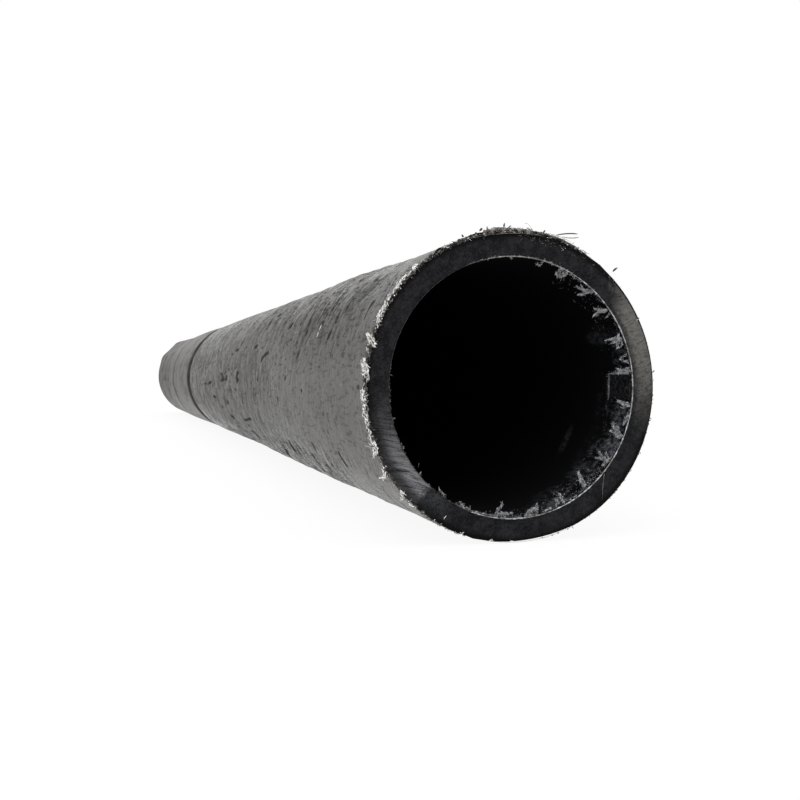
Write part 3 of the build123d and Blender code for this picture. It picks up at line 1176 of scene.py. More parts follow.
def rimWidth(angle):
    teeth = ripple(*rimBurr["widths"])(0, angle)
    return rimBurr["width"] * (0.12 + 0.88 * sector(angle, *rimBurr["wide"]) * ease(-1, 1.5, teeth))


def rimShade(angle):
    # soot everywhere but along the matted stretch, which is mostly grey on its left
    greyer = ripple(*rimBurr["greyer"])(0, angle)
    onLeft = (sector(angle, *rimBurr["greyLeft"]) > 0.5) & (greyer > -0.9)
    onRight = (sector(angle, *rimBurr["greyRight"]) > 0.5) & (greyer > 1.0)
    return np.where(onLeft | onRight, 1, 0)


raggedRing("rimBurr", rimRadius, 0.4 * mm, rimHeight, rimWidth, rimBurr["steps"],
           [sootyGlass, greyGlass], rimShade)


boreBurr = {
    "steps": 1400,
    "height": 0.34 * mm,
    "width": 0.5 * mm,
    # sectors: from, to and soft edge in degrees round the mouth
    "tall": (-110, 105, 12),
    "pale": (-108, 62, 6),
    "grey": (62, 100, 6),
    # fields, as on the rim
    "teeth": (33, 90, (12, 160), (1, 2)),
    "widths": (34, 60, (20, 160), (1, 2)),
    "duller": (35, 60, (4, 60), (1, 2)),
}


def mouthRadius(angle):
    return boreRadius + 0.15 * mm + 0 * angle


def boreHeight(angle):
    teeth = ripple(*boreBurr["teeth"])(0, angle)
    share = 0.25 + 0.75 * sector(angle, *boreBurr["tall"])
    return boreBurr["height"] * share * (0.55 + 0.45 * ease(-0.8, 2.0, teeth))


def boreWidth(angle):
    teeth = ripple(*boreBurr["widths"])(0, angle)
    return boreBurr["width"] * (0.4 + 0.6 * ease(-1, 1.5, teeth))


def boreShade(angle):
    # pale from the top clockwise to the bottom, dark on the left, greyer here and there
    duller = ripple(*boreBurr["duller"])(0, angle)
    pale = sector(angle, *boreBurr["pale"]) > 0.5
    grey = sector(angle, *boreBurr["grey"]) > 0.5
    return np.where(pale & (duller < 0.2), 0, np.where(pale | grey, 1, 2))


raggedRing("boreBurr", mouthRadius, 0.1 * mm, boreHeight, boreWidth, boreBurr["steps"],
           [paleGlass, greyGlass, sootyGlass], boreShade)


# Frayed glass, pulled out by the saw

def spray(rng, angle, radius, along, lean, length, thickness, shade, curl, profile):
    # one fibre from each place; lean gives the mean and the scatter of their headings
    # away from the axis, round it and along the pipe
    count = len(angle)
    away, around = directionsAt(angle)
    heading = 0
    for direction, (mean, scatter) in zip((away, around, lengthwise), lean):
        heading = heading + direction * rng.normal(mean, scatter, count)[:, None]
    heading /= np.linalg.norm(heading, axis=1, keepdims=True)
    bend = rng.normal(0, curl, (count, 3))
    return fibres(onPipe(angle, radius, along), heading, bend, length, thickness, shade, 4, profile)


def endsOf(near, far):
    # the points at two places, each in degrees round, radius in mm and mm along
    return [onPipe(np.radians(turn), radius * mm, along * mm) for turn, radius, along in (near, far)]


def lock(rng, look, near, far, sag, nearWidth, farWidth, strength):
    # a lock of torn glass from near to far: flakes and strands that lie nearly along it, spread over
    # its width, which goes evenly from one end to the other and is rounded off at both; near and far
    # are degrees round, radius in mm and mm along, and the middle stands off to one side by the sag
    start, end = endsOf(near, far)
    line = end - start
    reach = np.linalg.norm(line) / mm
    ahead = line / np.linalg.norm(line)
    across = np.cross(ahead, lengthwise)
    across = across / np.linalg.norm(across)
    groups = []
    for kind in look["kinds"]:
        count = max(2, round(kind["density"] * (reach + 0.5) * (nearWidth + farWidth) / 2 * strength))
        t = rng.uniform(0.02, 0.98, (count, 1))
        rounded = np.sqrt(np.clip(1 - (2 * t - 1) ** 2 * look["rounding"], 0.05, 1))
        half = (nearWidth * (1 - t) + farWidth * t) / 2 * rounded
        off = half * rng.uniform(-1, 1, (count, 1)) + sag * 4 * t * (1 - t)
        middle = start + line * t + across * off * mm
        middle = middle + lengthwise * rng.normal(0, look["depth"], (count, 1))
        turn = sag * 4 * (1 - 2 * t) / reach + rng.normal(0, kind["stray"], (count, 1))
        turn = turn - look["gather"] * (nearWidth - farWidth) / reach * off / np.maximum(half, 0.1)
        way = rng.choice([-1, 1], (count, 1))
        heading = (ahead * np.cos(turn) + across * np.sin(turn)) * way
        heading = heading + lengthwise * rng.normal(0, look["depthStray"], (count, 1))
        heading /= np.linalg.norm(heading, axis=1, keepdims=True)
        size = np.minimum(rng.uniform(*kind["size"], count), 0.4 + 0.7 * reach) * mm
        thickness = kind["thickness"] * rng.uniform(0.6, 1.4, count)
        shade = rng.choice(len(kind["shades"]), count, p=kind["shades"])
        first = middle - heading * size[:, None] / 2
        bend = rng.normal(0, kind["curl"], (count, 3))
        groups.append(fibres(first, heading, bend, size, thickness, shade, 5, kind["profile"]))
    return groups


rimLocks = {
    # degrees round the rim and radius in mm of the middle; slope on the face, 0 to the right and
    # 90 up; length, width and strength
    "places": [
        (129.8, 60.0, 40, 2.4, 0.7, 0.6), (131.8, 60.0, 45, 3.4, 1.3, 1.0),
        (134.6, 60.0, 48, 2.6, 0.8, 0.5), (137.4, 60.1, 52, 2.6, 1.0, 0.5),
        (140.2, 60.3, 56, 3.4, 1.3, 1.0), (143.0, 60.0, 55, 2.4, 1.0, 0.6),
        (146.0, 60.1, 58, 2.2, 0.7, 0.4), (148.6, 59.7, -60, 1.8, 0.9, 0.5),
        (150.6, 59.9, 65, 3.2, 1.5, 1.0), (152.6, 60.2, 62, 3.6, 1.7, 1.0),
        (154.6, 59.4, 60, 3.0, 1.6, 0.9), (156.6, 59.0, 70, 2.2, 1.0, 0.5),
        (159.0, 59.4, 80, 2.0, 0.7, 0.3), (162.4, 59.9, -56, 3.8, 2.0, 1.6),
        (163.7, 58.9, -46, 2.8, 1.2, 1.1), (166.6, 60.0, -80, 1.6, 0.6, 0.3),
        (169.9, 60.0, 75, 1.6, 1.3, 0.7), (172.8, 59.7, -84, 3.8, 2.3, 1.6),
        (175.2, 59.0, -76, 3.4, 2.1, 1.4), (178.4, 59.6, 88, 1.0, 0.7, 0.2),
        (181.8, 59.9, -88, 3.2, 1.7, 1.4), (184.6, 59.9, -84, 3.4, 1.4, 1.0),
        (187.2, 59.7, -86, 2.2, 1.0, 0.6), (189.6, 59.9, -80, 3.2, 1.5, 1.0),
        (192.2, 59.8, -74, 2.8, 1.2, 0.8), (195.4, 59.5, -75, 2.0, 0.9, 0.5),
        (198.0, 59.6, -74, 3.2, 1.1, 0.9), (200.8, 59.8, -66, 3.2, 2.1, 1.5),
        (202.4, 59.9, -86, 3.0, 1.8, 1.4), (203.8, 60.8, -110, 1.6, 0.6, 0.6),
        (206.4, 59.6, -62, 2.2, 0.4, 0.4), (210.6, 60.2, -82, 3.2, 1.2, 1.1),
        (212.2, 61.2, -112, 2.2, 0.9, 0.8), (211.8, 62.4, 200, 1.2, 0.4, 0.4),
        (220.6, 59.7, -62, 2.2, 1.0, 1.1), (222.2, 60.9, -118, 1.8, 0.6, 0.8),
        (226.4, 60.0, -40, 2.0, 0.6, 0.6), (248.4, 58.9, 14, 1.4, 0.7, 0.9),
        (260.3, 58.8, 0, 0.9, 0.5, 0.6), (268.7, 58.8, 0, 0.9, 0.4, 0.5),
    ],
    "rounding": 0.9,
    "gather": 0.0,
    "depth": 0.35 * mm,
    "depthStray": 0.25,
    "kinds": [
        dict(density=4.2, thickness=0.42 * mm, size=(0.7, 1.6), stray=0.30, curl=0.15, profile="flake",
             shades=(0.74, 0.14, 0.12)),
        dict(density=3.8, thickness=0.22 * mm, size=(0.9, 2.1), stray=0.40, curl=0.25, profile="flake",
             shades=(0.80, 0.15, 0.05)),
        dict(density=1.2, thickness=0.12 * mm, size=(1.4, 2.8), stray=0.6, curl=0.35, profile="thread",
             shades=(0.6, 0.4, 0.0)),
    ],
}


def makeRimLocks():
    # each lock's two ends are half its length from the middle, either way along its slope
    rng = np.random.default_rng(41)
    groups = []
    for degrees, radius, slope, length, width, strength in rimLocks["places"]:
        turn, tilt = math.radians(degrees), math.radians(slope)
        ends = []
        for way in (-0.5, 0.5):
            endX = radius * math.cos(turn) + way * length * math.cos(tilt)
            endZ = radius * math.sin(turn) + way * length * math.sin(tilt)
            ends.append((math.degrees(math.atan2(endZ, endX)), math.hypot(endX, endZ), 0.0))
        groups += lock(rng, rimLocks, *ends, 0.0, width, width, strength)
    fibrePiece("rimLocks", groups, [whiteGlass, greyGlass, sootyGlass])


makeRimLocks()


boreLocks = {
    # root and tip, each as degrees round the bore and radius in mm; sag, width at the root and at
    # the tip in mm; strength
    "horns": [
        # along the top: a knot, a hook, a folded strip
        (92.2, 50.4, 91.4, 49.3, 0.0, 0.9, 0.8, 1.2), (76.5, 50.6, 77.8, 47.8, 0.2, 0.8, 0.6, 0.9),
        (77.6, 48.0, 79.2, 48.7, 0.0, 0.6, 0.4, 0.8), (73.5, 50.5, 70.6, 50.1, 0.0, 0.6, 0.6, 0.8),
        (68.6, 51.6, 67.4, 50.0, 0.0, 0.8, 0.9, 1.0), (67.4, 50.0, 68.8, 47.2, 0.0, 0.9, 0.8, 1.0),
        (68.7, 47.2, 66.1, 46.6, 0.0, 0.7, 0.9, 1.0), (66.2, 46.6, 63.6, 49.7, 0.0, 1.3, 1.5, 1.0),
        (66.8, 50.0, 66.6, 47.2, 0.0, 1.6, 1.2, 0.8), (62.0, 50.2, 55.0, 50.0, 0.0, 0.4, 0.4, 0.9),
        (63.6, 49.8, 66.9, 49.8, 0.0, 0.8, 0.6, 0.9), (62.6, 49.9, 59.8, 49.7, 0.0, 0.5, 0.4, 0.9),
        # two tufts with fingers, upper right
        (48.4, 50.2, 51.8, 47.6, 0.0, 1.8, 2.2, 1.1), (51.6, 48.2, 56.6, 47.3, 0.3, 1.0, 0.5, 1.0),
        (51.8, 47.6, 55.2, 48.7, 0.0, 0.9, 0.5, 0.9), (50.6, 47.4, 53.3, 44.6, -0.3, 1.4, 0.6, 1.0),
        (47.6, 50.3, 46.6, 50.2, 0.0, 0.6, 0.4, 0.8), (37.6, 49.4, 43.0, 45.6, 0.4, 1.5, 0.7, 1.1),
        (38.0, 48.8, 39.8, 43.1, -0.5, 1.4, 0.7, 1.1), (38.6, 48.6, 40.6, 45.8, 0.0, 1.4, 1.0, 0.7),
        (36.0, 49.6, 35.0, 47.2, 0.0, 0.9, 0.5, 0.5),
        # right: a long finger over a mass, and the tuft above the flake
        (24.2, 49.2, 25.6, 42.5, 0.2, 1.2, 0.4, 0.9), (25.4, 49.0, 20.4, 46.6, 0.0, 1.7, 1.4, 1.0),
        (22.4, 49.4, 22.8, 44.4, -0.2, 2.0, 0.6, 0.9), (20.6, 49.0, 19.4, 45.8, 0.0, 1.4, 0.7, 0.7),
        (7.4, 49.6, 9.6, 43.8, 0.5, 1.8, 0.8, 1.1), (8.6, 49.2, 7.4, 43.5, 0.2, 1.8, 0.6, 1.0),
        (11.6, 49.4, 13.6, 46.2, 0.0, 1.3, 0.7, 0.9), (15.4, 49.6, 14.4, 46.8, 0.0, 0.8, 0.5, 0.6),
        # lower right: six tufts, mostly leaning up and to the left
        (-8.2, 49.6, -6.8, 44.0, 0.3, 1.8, 1.0, 1.2), (-8.0, 49.4, -10.0, 46.4, 0.0, 1.6, 0.9, 1.1),
        (-10.6, 49.8, -13.0, 49.4, 0.0, 0.7, 0.4, 0.5), (-12.6, 49.4, -18.0, 49.2, -0.2, 0.9, 1.0, 0.9),
        (-14.4, 50.0, -15.6, 49.2, 0.0, 0.9, 0.7, 0.9), (-23.8, 49.4, -18.4, 43.9, 0.4, 1.8, 0.7, 1.2),
        (-24.0, 49.2, -19.4, 46.2, 0.0, 1.8, 1.0, 1.0), (-24.6, 49.0, -22.8, 43.6, -0.4, 1.5, 0.6, 1.0),
        (-22.6, 49.8, -22.9, 48.6, 0.0, 1.6, 1.0, 0.8), (-36.8, 49.4, -35.4, 43.9, 0.3, 1.9, 0.6, 1.1),
        (-36.6, 49.2, -39.1, 43.9, -0.3, 1.5, 0.6, 0.8), (-34.4, 49.2, -39.6, 48.4, 0.0, 1.2, 1.2, 0.9),
        (-35.6, 48.6, -33.6, 46.6, 0.0, 1.0, 0.5, 0.8), (-52.4, 48.6, -50.8, 42.5, 0.4, 2.2, 0.8, 1.4),
        (-53.4, 48.4, -51.8, 45.4, 0.0, 1.4, 1.0, 1.2), (-66.0, 49.3, -65.6, 45.2, -0.3, 1.6, 0.6, 1.1),
        (-67.4, 49.0, -68.3, 46.6, 0.0, 1.2, 0.7, 1.0), (-69.6, 49.4, -67.2, 47.8, 0.0, 1.0, 0.8, 0.9),
        (-62.6, 49.6, -57.6, 49.9, 0.0, 0.7, 0.5, 0.6),
        # underneath: two horns and the torn liner between and beside them
        (-84.6, 49.8, -78.0, 47.6, 0.8, 2.0, 1.2, 1.2), (-79.4, 48.8, -77.8, 46.0, 0.2, 1.3, 0.5, 1.2),
        (-82.4, 50.2, -79.2, 49.6, 0.0, 1.0, 0.8, 0.8), (-76.6, 49.8, -71.4, 49.2, 0.0, 0.9, 0.8, 0.8),
        (-99.0, 49.6, -97.8, 46.4, 0.2, 1.3, 0.8, 1.2), (-98.0, 46.8, -96.2, 43.5, -0.4, 0.8, 0.4, 1.1),
        (-98.6, 49.4, -92.6, 48.4, 0.3, 1.6, 1.2, 1.2), (-95.6, 50.2, -94.0, 49.6, 0.0, 0.9, 0.8, 1.1),
        (-92.4, 48.2, -90.8, 47.9, 0.0, 0.7, 0.5, 1.1), (-90.2, 50.1, -86.4, 49.9, 0.0, 0.5, 0.5, 1.0),
        (-117.6, 48.5, -115.0, 48.6, 0.0, 0.9, 0.8, 0.9),
        (-115.2, 49.3, -111.0, 49.9, 0.0, 1.0, 0.8, 0.9),
        (-109.4, 49.6, -107.0, 49.8, 0.0, 0.7, 0.6, 0.9),
        (-105.6, 49.8, -100.4, 49.7, 0.0, 0.9, 1.0, 0.6),
        (-124.8, 49.8, -128.6, 48.5, 0.0, 1.0, 0.3, 0.9),
        # small ones down the left side
        (193.4, 50.2, 193.0, 49.0, 0.0, 0.6, 0.4, 0.7), (206.9, 50.2, 206.0, 49.0, 0.0, 0.5, 0.3, 0.7),
        (220.6, 50.2, 219.4, 48.6, 0.0, 0.6, 0.3, 0.6), (179.5, 50.3, 179.6, 49.6, 0.0, 0.5, 0.4, 0.7),
        (185.3, 50.3, 185.4, 49.6, 0.0, 0.5, 0.4, 0.7), (188.0, 50.3, 188.0, 49.7, 0.0, 0.4, 0.3, 0.7),
        (182.4, 50.3, 182.4, 49.7, 0.0, 0.4, 0.3, 0.7), (176.0, 50.3, 176.0, 49.7, 0.0, 0.4, 0.3, 0.7),
    ],
    "rounding": 0.5,
    "gather": 0.5,
    "depth": 0.3 * mm,
    "depthStray": 0.2,
    "kinds": [
        dict(density=3.6, thickness=0.36 * mm, size=(0.6, 1.3), stray=0.35, curl=0.15, profile="flake",
             shades=(0.62, 0.38)),
        dict(density=3.6, thickness=0.19 * mm, size=(0.8, 1.7), stray=0.50, curl=0.3, profile="flake",
             shades=(0.80, 0.20)),
        dict(density=0.8, thickness=0.10 * mm, size=(1.0, 2.0), stray=0.8, curl=0.4, profile="thread",
             shades=(0.4, 0.6)),
    ],
}


def makeBoreLocks():
    # the roots lie in the mouth, the tips hang a little deeper in the bore
    rng = np.random.default_rng(42)
    groups = []
    for rootTurn, rootRadius, tipTurn, tipRadius, *shape in boreLocks["horns"]:
        groups += lock(rng, boreLocks, (rootTurn, rootRadius, 0.5), (tipTurn, tipRadius, 1.0), *shape)
    fibrePiece("boreLocks", groups, [paleGlass, greyGlass])


makeBoreLocks()


# Short fuzz and crumbs along the edges

fuzz = {
    "headings": {
        # mean and scatter of a fibre's heading away from the axis, round it and along the pipe; its curl
        "wild": ([(0.45, 0.5), (0, 0.9), (-0.1, 0.5)], 0.35),
        "flat": ([(0.1, 0.4), (0, 1.0), (0, 0.4)], 0.35),
        "matted": ([(0.05, 0.22), (0, 1.0), (-0.1, 0.3)], 0.35),
        "combed": ([(0.0, 0.05), (0, 1.0), (0, 0.1)], 0.08),
        "overFace": ([(-0.3, 0.6), (0, 0.8), (-0.2, 0.2)], 0.35),
        "inward": ([(-0.5, 0.4), (0, 0.8), (0.5, 0.5)], 0.35),
        "along": ([(-0.15, 0.15), (0, 0.8), (0.8, 0.5)], 0.35),
    },
    # tufts: seed, how many fibres, degrees round between which they are rooted, then the same in mm
    # off the wall and in mm along the pipe; heading, length and thickness in mm, shares of the
    # finishes, profile
    "rimFuzz": [
        # dark crumbs and flakes, from the top round the left side
        (51, 220, (101, 128), (-0.9, 0.3), (-0.5, 0.9), "flat", 1.2, 0.5, (0.0, 0.15, 0.85), "flake"),
        (50, 16, (103, 134), (-0.9, 0.3), (-0.5, 0.9), "matted", 1.8, 0.8, (0.0, 0.25, 0.75), "flake"),
        (52, 480, (126, 214), (-0.9, 0.3), (-0.5, 0.9), "flat", 1.5, 0.6, (0.03, 0.22, 0.75), "flake"),
        (46, 60, (164.6, 170.6), (-0.9, 0.3), (-0.5, 0.9), "flat", 1.4, 0.8, (0.0, 0.1, 0.9), "flake"),
        (45, 40, (177.4, 181.0), (-0.9, 0.3), (-0.5, 0.9), "flat", 1.4, 0.8, (0.0, 0.1, 0.9), "flake"),
        (53, 90, (214, 250), (-0.3, 0.4), (-0.5, 0.9), "matted", 1.2, 0.32, (0.1, 0.5, 0.4), "flake"),
        # matted fluff along the top, combed threads right of it, bits that stray over the face
        (54, 460, (83, 103), (-0.2, 1.6), (-0.5, 0.9), "matted", 1.0, 0.24, (0.12, 0.66, 0.22), "flake"),
        (48, 170, (61, 84), (-0.4, 1.2), (-0.5, 0.9), "matted", 1.2, 0.24, (0.04, 0.40, 0.56), "flake"),
        (49, 60, (60, 86), (-0.4, 1.2), (-0.5, 0.9), "combed", 4.0, 0.15, (0.07, 0.42, 0.51), "thread"),
        (47, 24, (66, 106), (-0.2, 1.6), (-0.5, 0.9), "wild", 1.2, 0.18, (0.0, 0.4, 0.6), "taper"),
        (55, 300, (101, 130), (-0.3, 0.4), (-0.5, 0.9), "flat", 1.2, 0.20, (0.15, 0.45, 0.4), "taper"),
        (56, 120, (60, 88), (-3.0, 0.0), (-0.1, 0.1), "overFace", 1.0, 0.20, (0.03, 0.45, 0.52), "flake"),
        (58, 16, (48, 62), (-1.2, -0.3), (-0.1, 0.1), "overFace", 0.7, 0.16, (0.0, 0.5, 0.5), "flake"),
        (57, 560, (126, 240), (-0.3, 0.4), (-0.5, 0.9), "wild", 1.1, 0.15, (0.12, 0.33, 0.55), "taper"),
        # a few specks round the right side and underneath
        (59, 50, (-45, 50), (-0.9, 0.0), (-0.1, 0.1), "flat", 0.8, 0.25, (0.1, 0.4, 0.5), "flake"),
        (60, 60, (280, 348), (-0.45, -0.05), (-0.1, 0.1), "flat", 0.8, 0.36, (0.0, 0.12, 0.88), "flake"),
    ],
    "boreFuzz": [
        (61, 420, (242, 318), (-0.4, 0.2), (0, 5), "inward", 1.3, 0.22, (0.15, 0.85), "taper"),
        (62, 260, (-42, 62), (-0.4, 0.2), (0, 1.5), "inward", 0.8, 0.14, (0.2, 0.8), "taper"),
        (63, 150, (-66, 60), (-0.5, -0.1), (1, 22), "along", 1.6, 0.16, (0.05, 0.95), "taper"),
        (64, 50, (-66, 60), (-0.5, -0.1), (1, 18), "along", 1.2, 0.36, (0.05, 0.95), "flake"),
        (66, 90, (240, 320), (-0.5, -0.1), (2, 18), "along", 1.0, 0.35, (0.1, 0.9), "flake"),
        (65, 60, (170, 236), (-0.4, 0.2), (0, 0.6), "inward", 0.9, 0.22, (0.3, 0.7), "taper"),
        (67, 260, (62, 112), (-0.1, 0.6), (-0.1, 0.1), "flat", 0.7, 0.16, (0.2, 0.8), "flake"),
        # round the torn plate of liner on the right
        (68, 70, (-6, 6.4), (-1.0, -0.4), (17.8, 19.6), "along", 0.8, 0.25, (0.5, 0.5), "flake"),
        (69, 50, (6.0, 7.0), (-1.0, -0.4), (1, 19), "along", 0.8, 0.22, (0.6, 0.4), "flake"),
    ],
}


def makeFuzz(name, wallRadius, finishes):
    # the fibres of each tuft are spread evenly over its sector, its band of radii and its depth
    groups = []
    for seed, count, degrees, band, depth, heading, length, thickness, shades, profile in fuzz[name]:
        rng = np.random.default_rng(seed)
        angle = np.radians(rng.uniform(*degrees, count))
        radius = rng.uniform(*(wallRadius + off * mm for off in band), count)
        along = rng.uniform(*(place * mm for place in depth), count)
        reach = length * mm * rng.uniform(0.3, 1.0, count) ** 1.5
        thick = thickness * mm * rng.uniform(0.6, 1.5, count)
        shade = rng.choice(len(shades), count, p=shades)
        lean, curl = fuzz["headings"][heading]
        groups.append(spray(rng, angle, radius, along, lean, reach, thick, shade, curl, profile))
    fibrePiece(name, groups, finishes)


makeFuzz("rimFuzz", outerRadius, [whiteGlass, greyGlass, sootyGlass])
makeFuzz("boreFuzz", boreRadius, [paleGlass, greyGlass])


# Single hairs, slivers and crumbs, and the loose flake in the mouth of the bore

looseBits = {
    # from and to, each as degrees, radius in mm and place along in mm; sag in mm and its direction in
    # degrees; thickness in mm; number of the finish; profile
    "curves": [
        # two hairs, a sliver on a very thin hair, and a curled wisp
        ((74.0, 61.2, -0.4), (66.6, 64.9, -0.6), (0.35, 75), 0.56, 2, "thread"),
        ((71.6, 61.4, -0.4), (65.8, 63.9, -0.6), (0.40, 250), 0.42, 3, "thread"),
        ((47.9, 61.1, -0.6), (47.5, 63.7, -0.6), (0.15, 120), 0.95, 2, "flake"),
        ((48.6, 59.4, 0.0), (47.9, 61.2, -0.6), (0.1, 150), 0.03, 2, "thread"),
        ((199.8, 60.2, 0.2), (198.4, 63.2, 0.6), (0.7, 60), 0.30, 1, "taper"),
        ((202.0, 60.2, 0.2), (199.6, 62.8, 0.6), (0.4, 30), 0.22, 0, "taper"),
        ((197.7, 63.0, 0.6), (200.4, 63.0, 0.6), (0.3, 200), 0.22, 1, "taper"),
        # a hair that lies over the sawn face
        ((317.9, 50.6, -0.3), (309.9, 57.4, -0.3), (0.25, 180), 0.20, 3, "taper"),
        ((317.0, 50.3, -0.2), (318.5, 47.5, 1.0), (0.3, 120), 0.20, 1, "taper"),
        # crumbs and ends of fibre along the top
        ((110.3, 60.4, 0.0), (110.6, 61.6, 0.0), (0.0, 0), 0.90, 2, "flake"),
        ((103.9, 61.0, 0.0), (102.6, 61.9, 0.0), (0.0, 0), 1.05, 2, "flake"),
        ((101.0, 60.8, 0.0), (100.7, 62.2, 0.0), (0.1, 0), 0.65, 2, "flake"),
        ((94.8, 61.0, -1.0), (94.4, 62.7, -1.0), (0.0, 0), 0.85, 2, "flake"),
        ((93.0, 61.0, 0.0), (91.6, 61.9, 0.0), (0.1, 0), 0.50, 2, "flake"),
        ((79.3, 60.4, -0.5), (78.7, 61.8, -0.5), (0.1, 0), 0.75, 2, "flake"),
        ((86.9, 62.6, -1.0), (85.3, 62.4, -1.0), (0.35, 90), 0.16, 1, "thread"),
        ((84.0, 60.8, -1.0), (85.4, 62.4, -1.0), (0.2, 20), 0.14, 1, "thread"),
        ((100.2, 60.6, -0.6), (97.2, 61.0, -0.6), (0.1, 98), 1.40, 3, "flake"),
        # threads of glass that lie along the face's upper edge and over the right shoulder
        ((108.0, 59.2, -0.2), (98.0, 58.8, -0.2), (0.20, 103), 0.15, 1, "thread"),
        ((98.4, 58.8, -0.2), (87.0, 59.0, -0.2), (0.28, 93), 0.18, 3, "thread"),
        ((87.4, 59.0, -0.2), (79.0, 59.4, -0.2), (0.15, 83), 0.14, 1, "thread"),
        ((77.5, 60.8, -0.4), (67.5, 60.9, -0.4), (0.40, 72), 0.22, 3, "thread"),
        ((76.0, 60.5, -0.4), (64.0, 60.0, -0.4), (0.45, 70), 0.24, 3, "thread"),
        # dark crumbs on the left side
        ((180.2, 60.4, 0.0), (180.3, 61.8, 0.4), (0.1, 90), 1.0, 2, "flake"),
        ((159.0, 58.6, -0.3), (158.6, 60.6, 0.0), (0.1, 90), 1.30, 2, "flake"),
        ((157.8, 60.0, -0.1), (160.2, 59.6, 0.0), (0.2, 90), 1.10, 2, "flake"),
        ((166.3, 57.8, -0.3), (167.6, 59.2, -0.2), (0.1, 90), 0.90, 2, "flake"),
        ((178.0, 59.2, -0.2), (179.8, 59.0, 0.0), (0.2, 90), 1.20, 2, "flake"),
        # threads along the rim at the lower left
        ((204.3, 59.5, -0.3), (211.0, 59.6, -0.3), (0.30, 208), 0.16, 3, "thread"),
        ((213.0, 59.6, -0.3), (219.8, 59.6, -0.3), (0.25, 216), 0.16, 3, "thread"),
        ((222.6, 59.8, -0.3), (229.0, 59.7, -0.3), (0.15, 226), 0.18, 3, "thread"),
        ((229.4, 59.6, -0.2), (240.0, 59.4, -0.2), (0.40, 235), 0.14, 3, "thread"),
        # the notch that ends the burnished sector
        ((226.9, 55.4, -0.1), (226.3, 51.9, -0.1), (0.3, 140), 0.34, 2, "flake"),
        ((226.3, 51.9, -0.1), (229.4, 49.6, -0.1), (0.2, 140), 0.22, 2, "taper"),
        ((229.9, 53.1, -0.1), (233.6, 51.8, -0.1), (0.2, 140), 0.16, 2, "taper"),
        # specks on the face, nicks in the right rim, a bit hanging in the bore
        ((239.9, 55.4, -0.1), (239.7, 57.0, -0.1), (0.2, 180), 0.30, 0, "flake"),
        ((28.0, 58.8, 0.0), (27.2, 59.6, 0.0), (0.0, 0), 0.50, 2, "flake"),
        ((5.6, 59.0, 0.0), (6.4, 60.1, 0.0), (0.0, 0), 0.55, 2, "flake"),
        ((218.3, 48.2, 3.0), (216.9, 47.0, 3.0), (0.1, 90), 0.26, 1, "thread"),
        # ends of glass that show in the wound surface
        ((152.0, 59.8, 108.4), (154.8, 59.8, 106.8), (0.1, 60), 0.30, 0, "flake"),
        ((155.6, 59.8, 106.6), (158.4, 59.8, 105.6), (0.1, 60), 0.26, 0, "flake"),
        ((151.4, 59.7, 112), (153.8, 59.7, 113), (0.1, 60), 0.26, 3, "flake"),
        ((149.2, 59.7, 114), (151.0, 59.7, 112), (0.1, 60), 0.26, 3, "flake"),
        ((156.8, 59.7, 105), (158.8, 59.7, 106), (0.1, 60), 0.24, 3, "flake"),
    ],
}


def makeLooseBits():
    # each bit bends by its sag halfway, so it bows out and comes back to its far end
    groups = []
    for near, far, (sag, sagDegrees), thickness, shade, profile in looseBits["curves"]:
        start, end = endsOf(near, far)
        across = directionsAt(np.radians(np.array(float(sagDegrees))))[0] * sag * mm
        bend, heading = -4 * across, end - start + 4 * across
        unit = np.linalg.norm(end - start)
        groups.append(fibres(start[None], heading[None] / unit, bend[None] / unit, np.array([unit]),
                             np.array([thickness * mm]), np.array([shade]), 9, profile))
    fibrePiece("looseBits", groups, [whiteGlass, greyGlass, sootyGlass, brownGlass])


makeLooseBits()


boreFlake = {
    "degrees": (-6.0, 6.4),
    "depth": (1.0 * mm, 19.0 * mm),
    "stands": 0.7 * mm,          # off the bore wall
    "thickness": 0.3 * mm,
    "waveHeight": 0.12 * mm,
    "waves": (71, 20, (-60, 60), (4 * mm, 12 * mm)),    # as the fields of the laminate
    "grid": (28, 20),
}


def makeBoreFlake():
    # a torn plate of liner: the radius waves a little over the plate, and the plate has two skins;
    # its upper and its deeper edge are frayed and pale
    rows, columns = boreFlake["grid"]
    angle = np.radians(np.linspace(*boreFlake["degrees"], rows))[:, None]
    along = np.linspace(*boreFlake["depth"], columns)[None, :]
    wavy = boreFlake["waveHeight"] * ripple(*boreFlake["waves"])(along, angle)
    radius = boreRadius - boreFlake["stands"] + wavy
    upper = onPipe(angle, radius, along)
    lower = onPipe(angle, radius + boreFlake["thickness"], along)
    row, column = np.meshgrid(np.arange(rows - 1), np.arange(columns - 1), indexing="ij")
    here = row * columns + column
    skin = np.stack([here, here + columns, here + columns + 1, here + 1], axis=-1).reshape(-1, 4)
    count = rows * columns
    outline = np.concatenate([np.arange(columns), np.arange(2, rows + 1) * columns - 1,
                              count - 1 - np.arange(1, columns), np.arange(rows - 2, -1, -1) * columns])
    ahead = np.roll(outline, -1)
    rim = np.stack([outline, ahead, ahead + count, outline + count], axis=-1)[outline != ahead]
    faces = np.concatenate([skin, skin[:, ::-1] + count, rim])
    points = np.concatenate([upper.reshape(-1, 3), lower.reshape(-1, 3)])
    frayed = ((row == rows - 2) | (column == columns - 2)).ravel()
    shade = np.concatenate([frayed, np.zeros(len(skin) + len(rim))])
    newPiece("boreFlake", points, [faces], [sootyLiner, paleGlass], shade)


makeBoreFlake()


# Stage

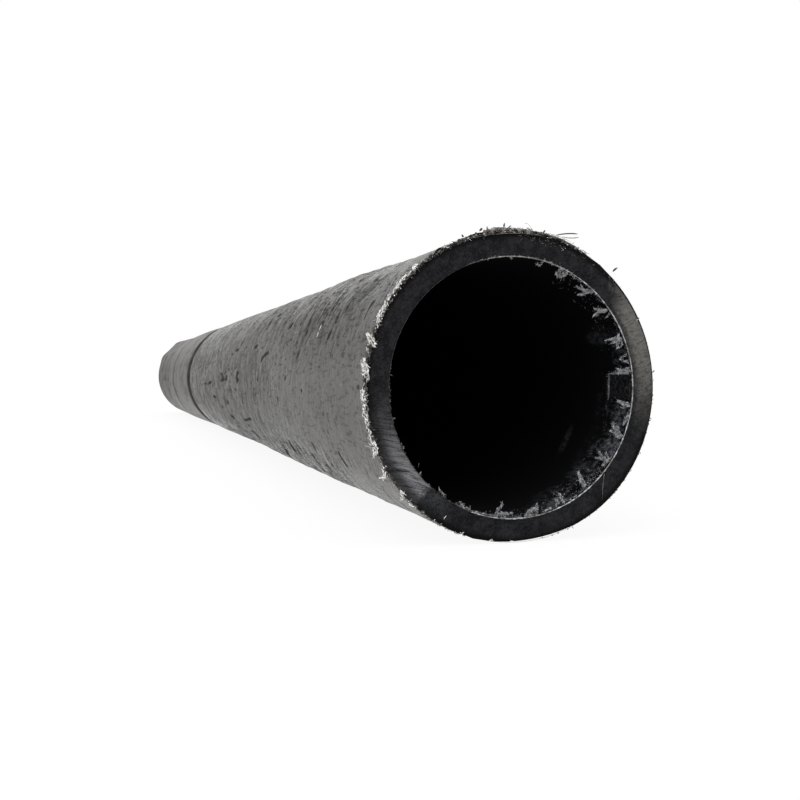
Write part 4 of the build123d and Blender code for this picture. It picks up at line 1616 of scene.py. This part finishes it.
studio = {
    "floorHalf": 20.0,          # metres from the middle of the floor to each side
    "floorColour": rgb(0.9, 0.9, 0.9),
    "floorGlow": 0.92,
    "skyLevel": 0.75,
    "lamps": [
        # name, strength, width of the lamp in the sky in degrees, tilt and turn in degrees
        ("keyLamp", 2.0, 60, 40, -35),
        ("fillLamp", 0.4, 80, 55, 60),
    ],
}


def makeFloor():
    half = studio["floorHalf"]
    corners = [(-half, -half, 0), (half, -half, 0), (half, half, 0), (-half, half, 0)]
    mesh = bpy.data.meshes.new("paleFloor")
    mesh.from_pydata(corners, [], [(0, 1, 2, 3)])
    floor = bpy.data.objects.new("paleFloor", mesh)
    bpy.context.scene.collection.objects.link(floor)
    finish = Finish("floorPaint")
    painted = finish.node("ShaderNodeBsdfDiffuse", inputs={"Color": studio["floorColour"]})
    glowing = finish.node("ShaderNodeEmission", inputs={"Color": rgb(1, 1, 1), "Strength": 1.0})
    glow = finish.seenDirectly() * studio["floorGlow"]
    mesh.materials.append(finish.output(finish.blend(glow, painted, glowing)))


def makeStudio():
    world = bpy.data.worlds.new("studio")
    bpy.context.scene.world = world
    sky = Finish("studio", world)
    lighting = {"Color": rgb(1, 1, 1), "Strength": studio["skyLevel"]}
    seen = {"Color": rgb(1, 1, 1), "Strength": 1.0}
    shaders = [sky.node("ShaderNodeBackground", inputs=inputs) for inputs in (lighting, seen)]
    sky.output(sky.blend(sky.seenDirectly(), *shaders), "ShaderNodeOutputWorld")
    for name, strength, width, tilt, turn in studio["lamps"]:
        lamp = bpy.data.lights.new(name, "SUN")
        lamp.energy = strength
        lamp.angle = math.radians(width)
        holder = bpy.data.objects.new(name, lamp)
        holder.rotation_euler = (math.radians(tilt), 0, math.radians(turn))
        bpy.context.scene.collection.objects.link(holder)


makeFloor()
makeStudio()
print("studio made")


view = {
    "place": (-152.29 * mm, sawnY - 368.96 * mm, axisHeight + 5.78 * mm),
    "tiltDown": 0.522,            # degrees
    "turnRight": 16.78,
    "lens": 46.77,                # mm, and so is the sensor
    "sensor": 36,
    "shift": (-0.015625, -0.0225),
    "clip": (0.01, 100),
}


def makeCamera():
    camera = bpy.data.cameras.new("camera")
    camera.lens = view["lens"]
    camera.sensor_width = view["sensor"]
    camera.shift_x, camera.shift_y = view["shift"]
    camera.clip_start, camera.clip_end = view["clip"]
    holder = bpy.data.objects.new("camera", camera)
    holder.location = view["place"]
    holder.rotation_euler = (math.radians(90 - view["tiltDown"]), 0, math.radians(-view["turnRight"]))
    bpy.context.scene.collection.objects.link(holder)
    bpy.context.scene.camera = holder
    bpy.context.scene.view_settings.view_transform = "Standard"


makeCamera()
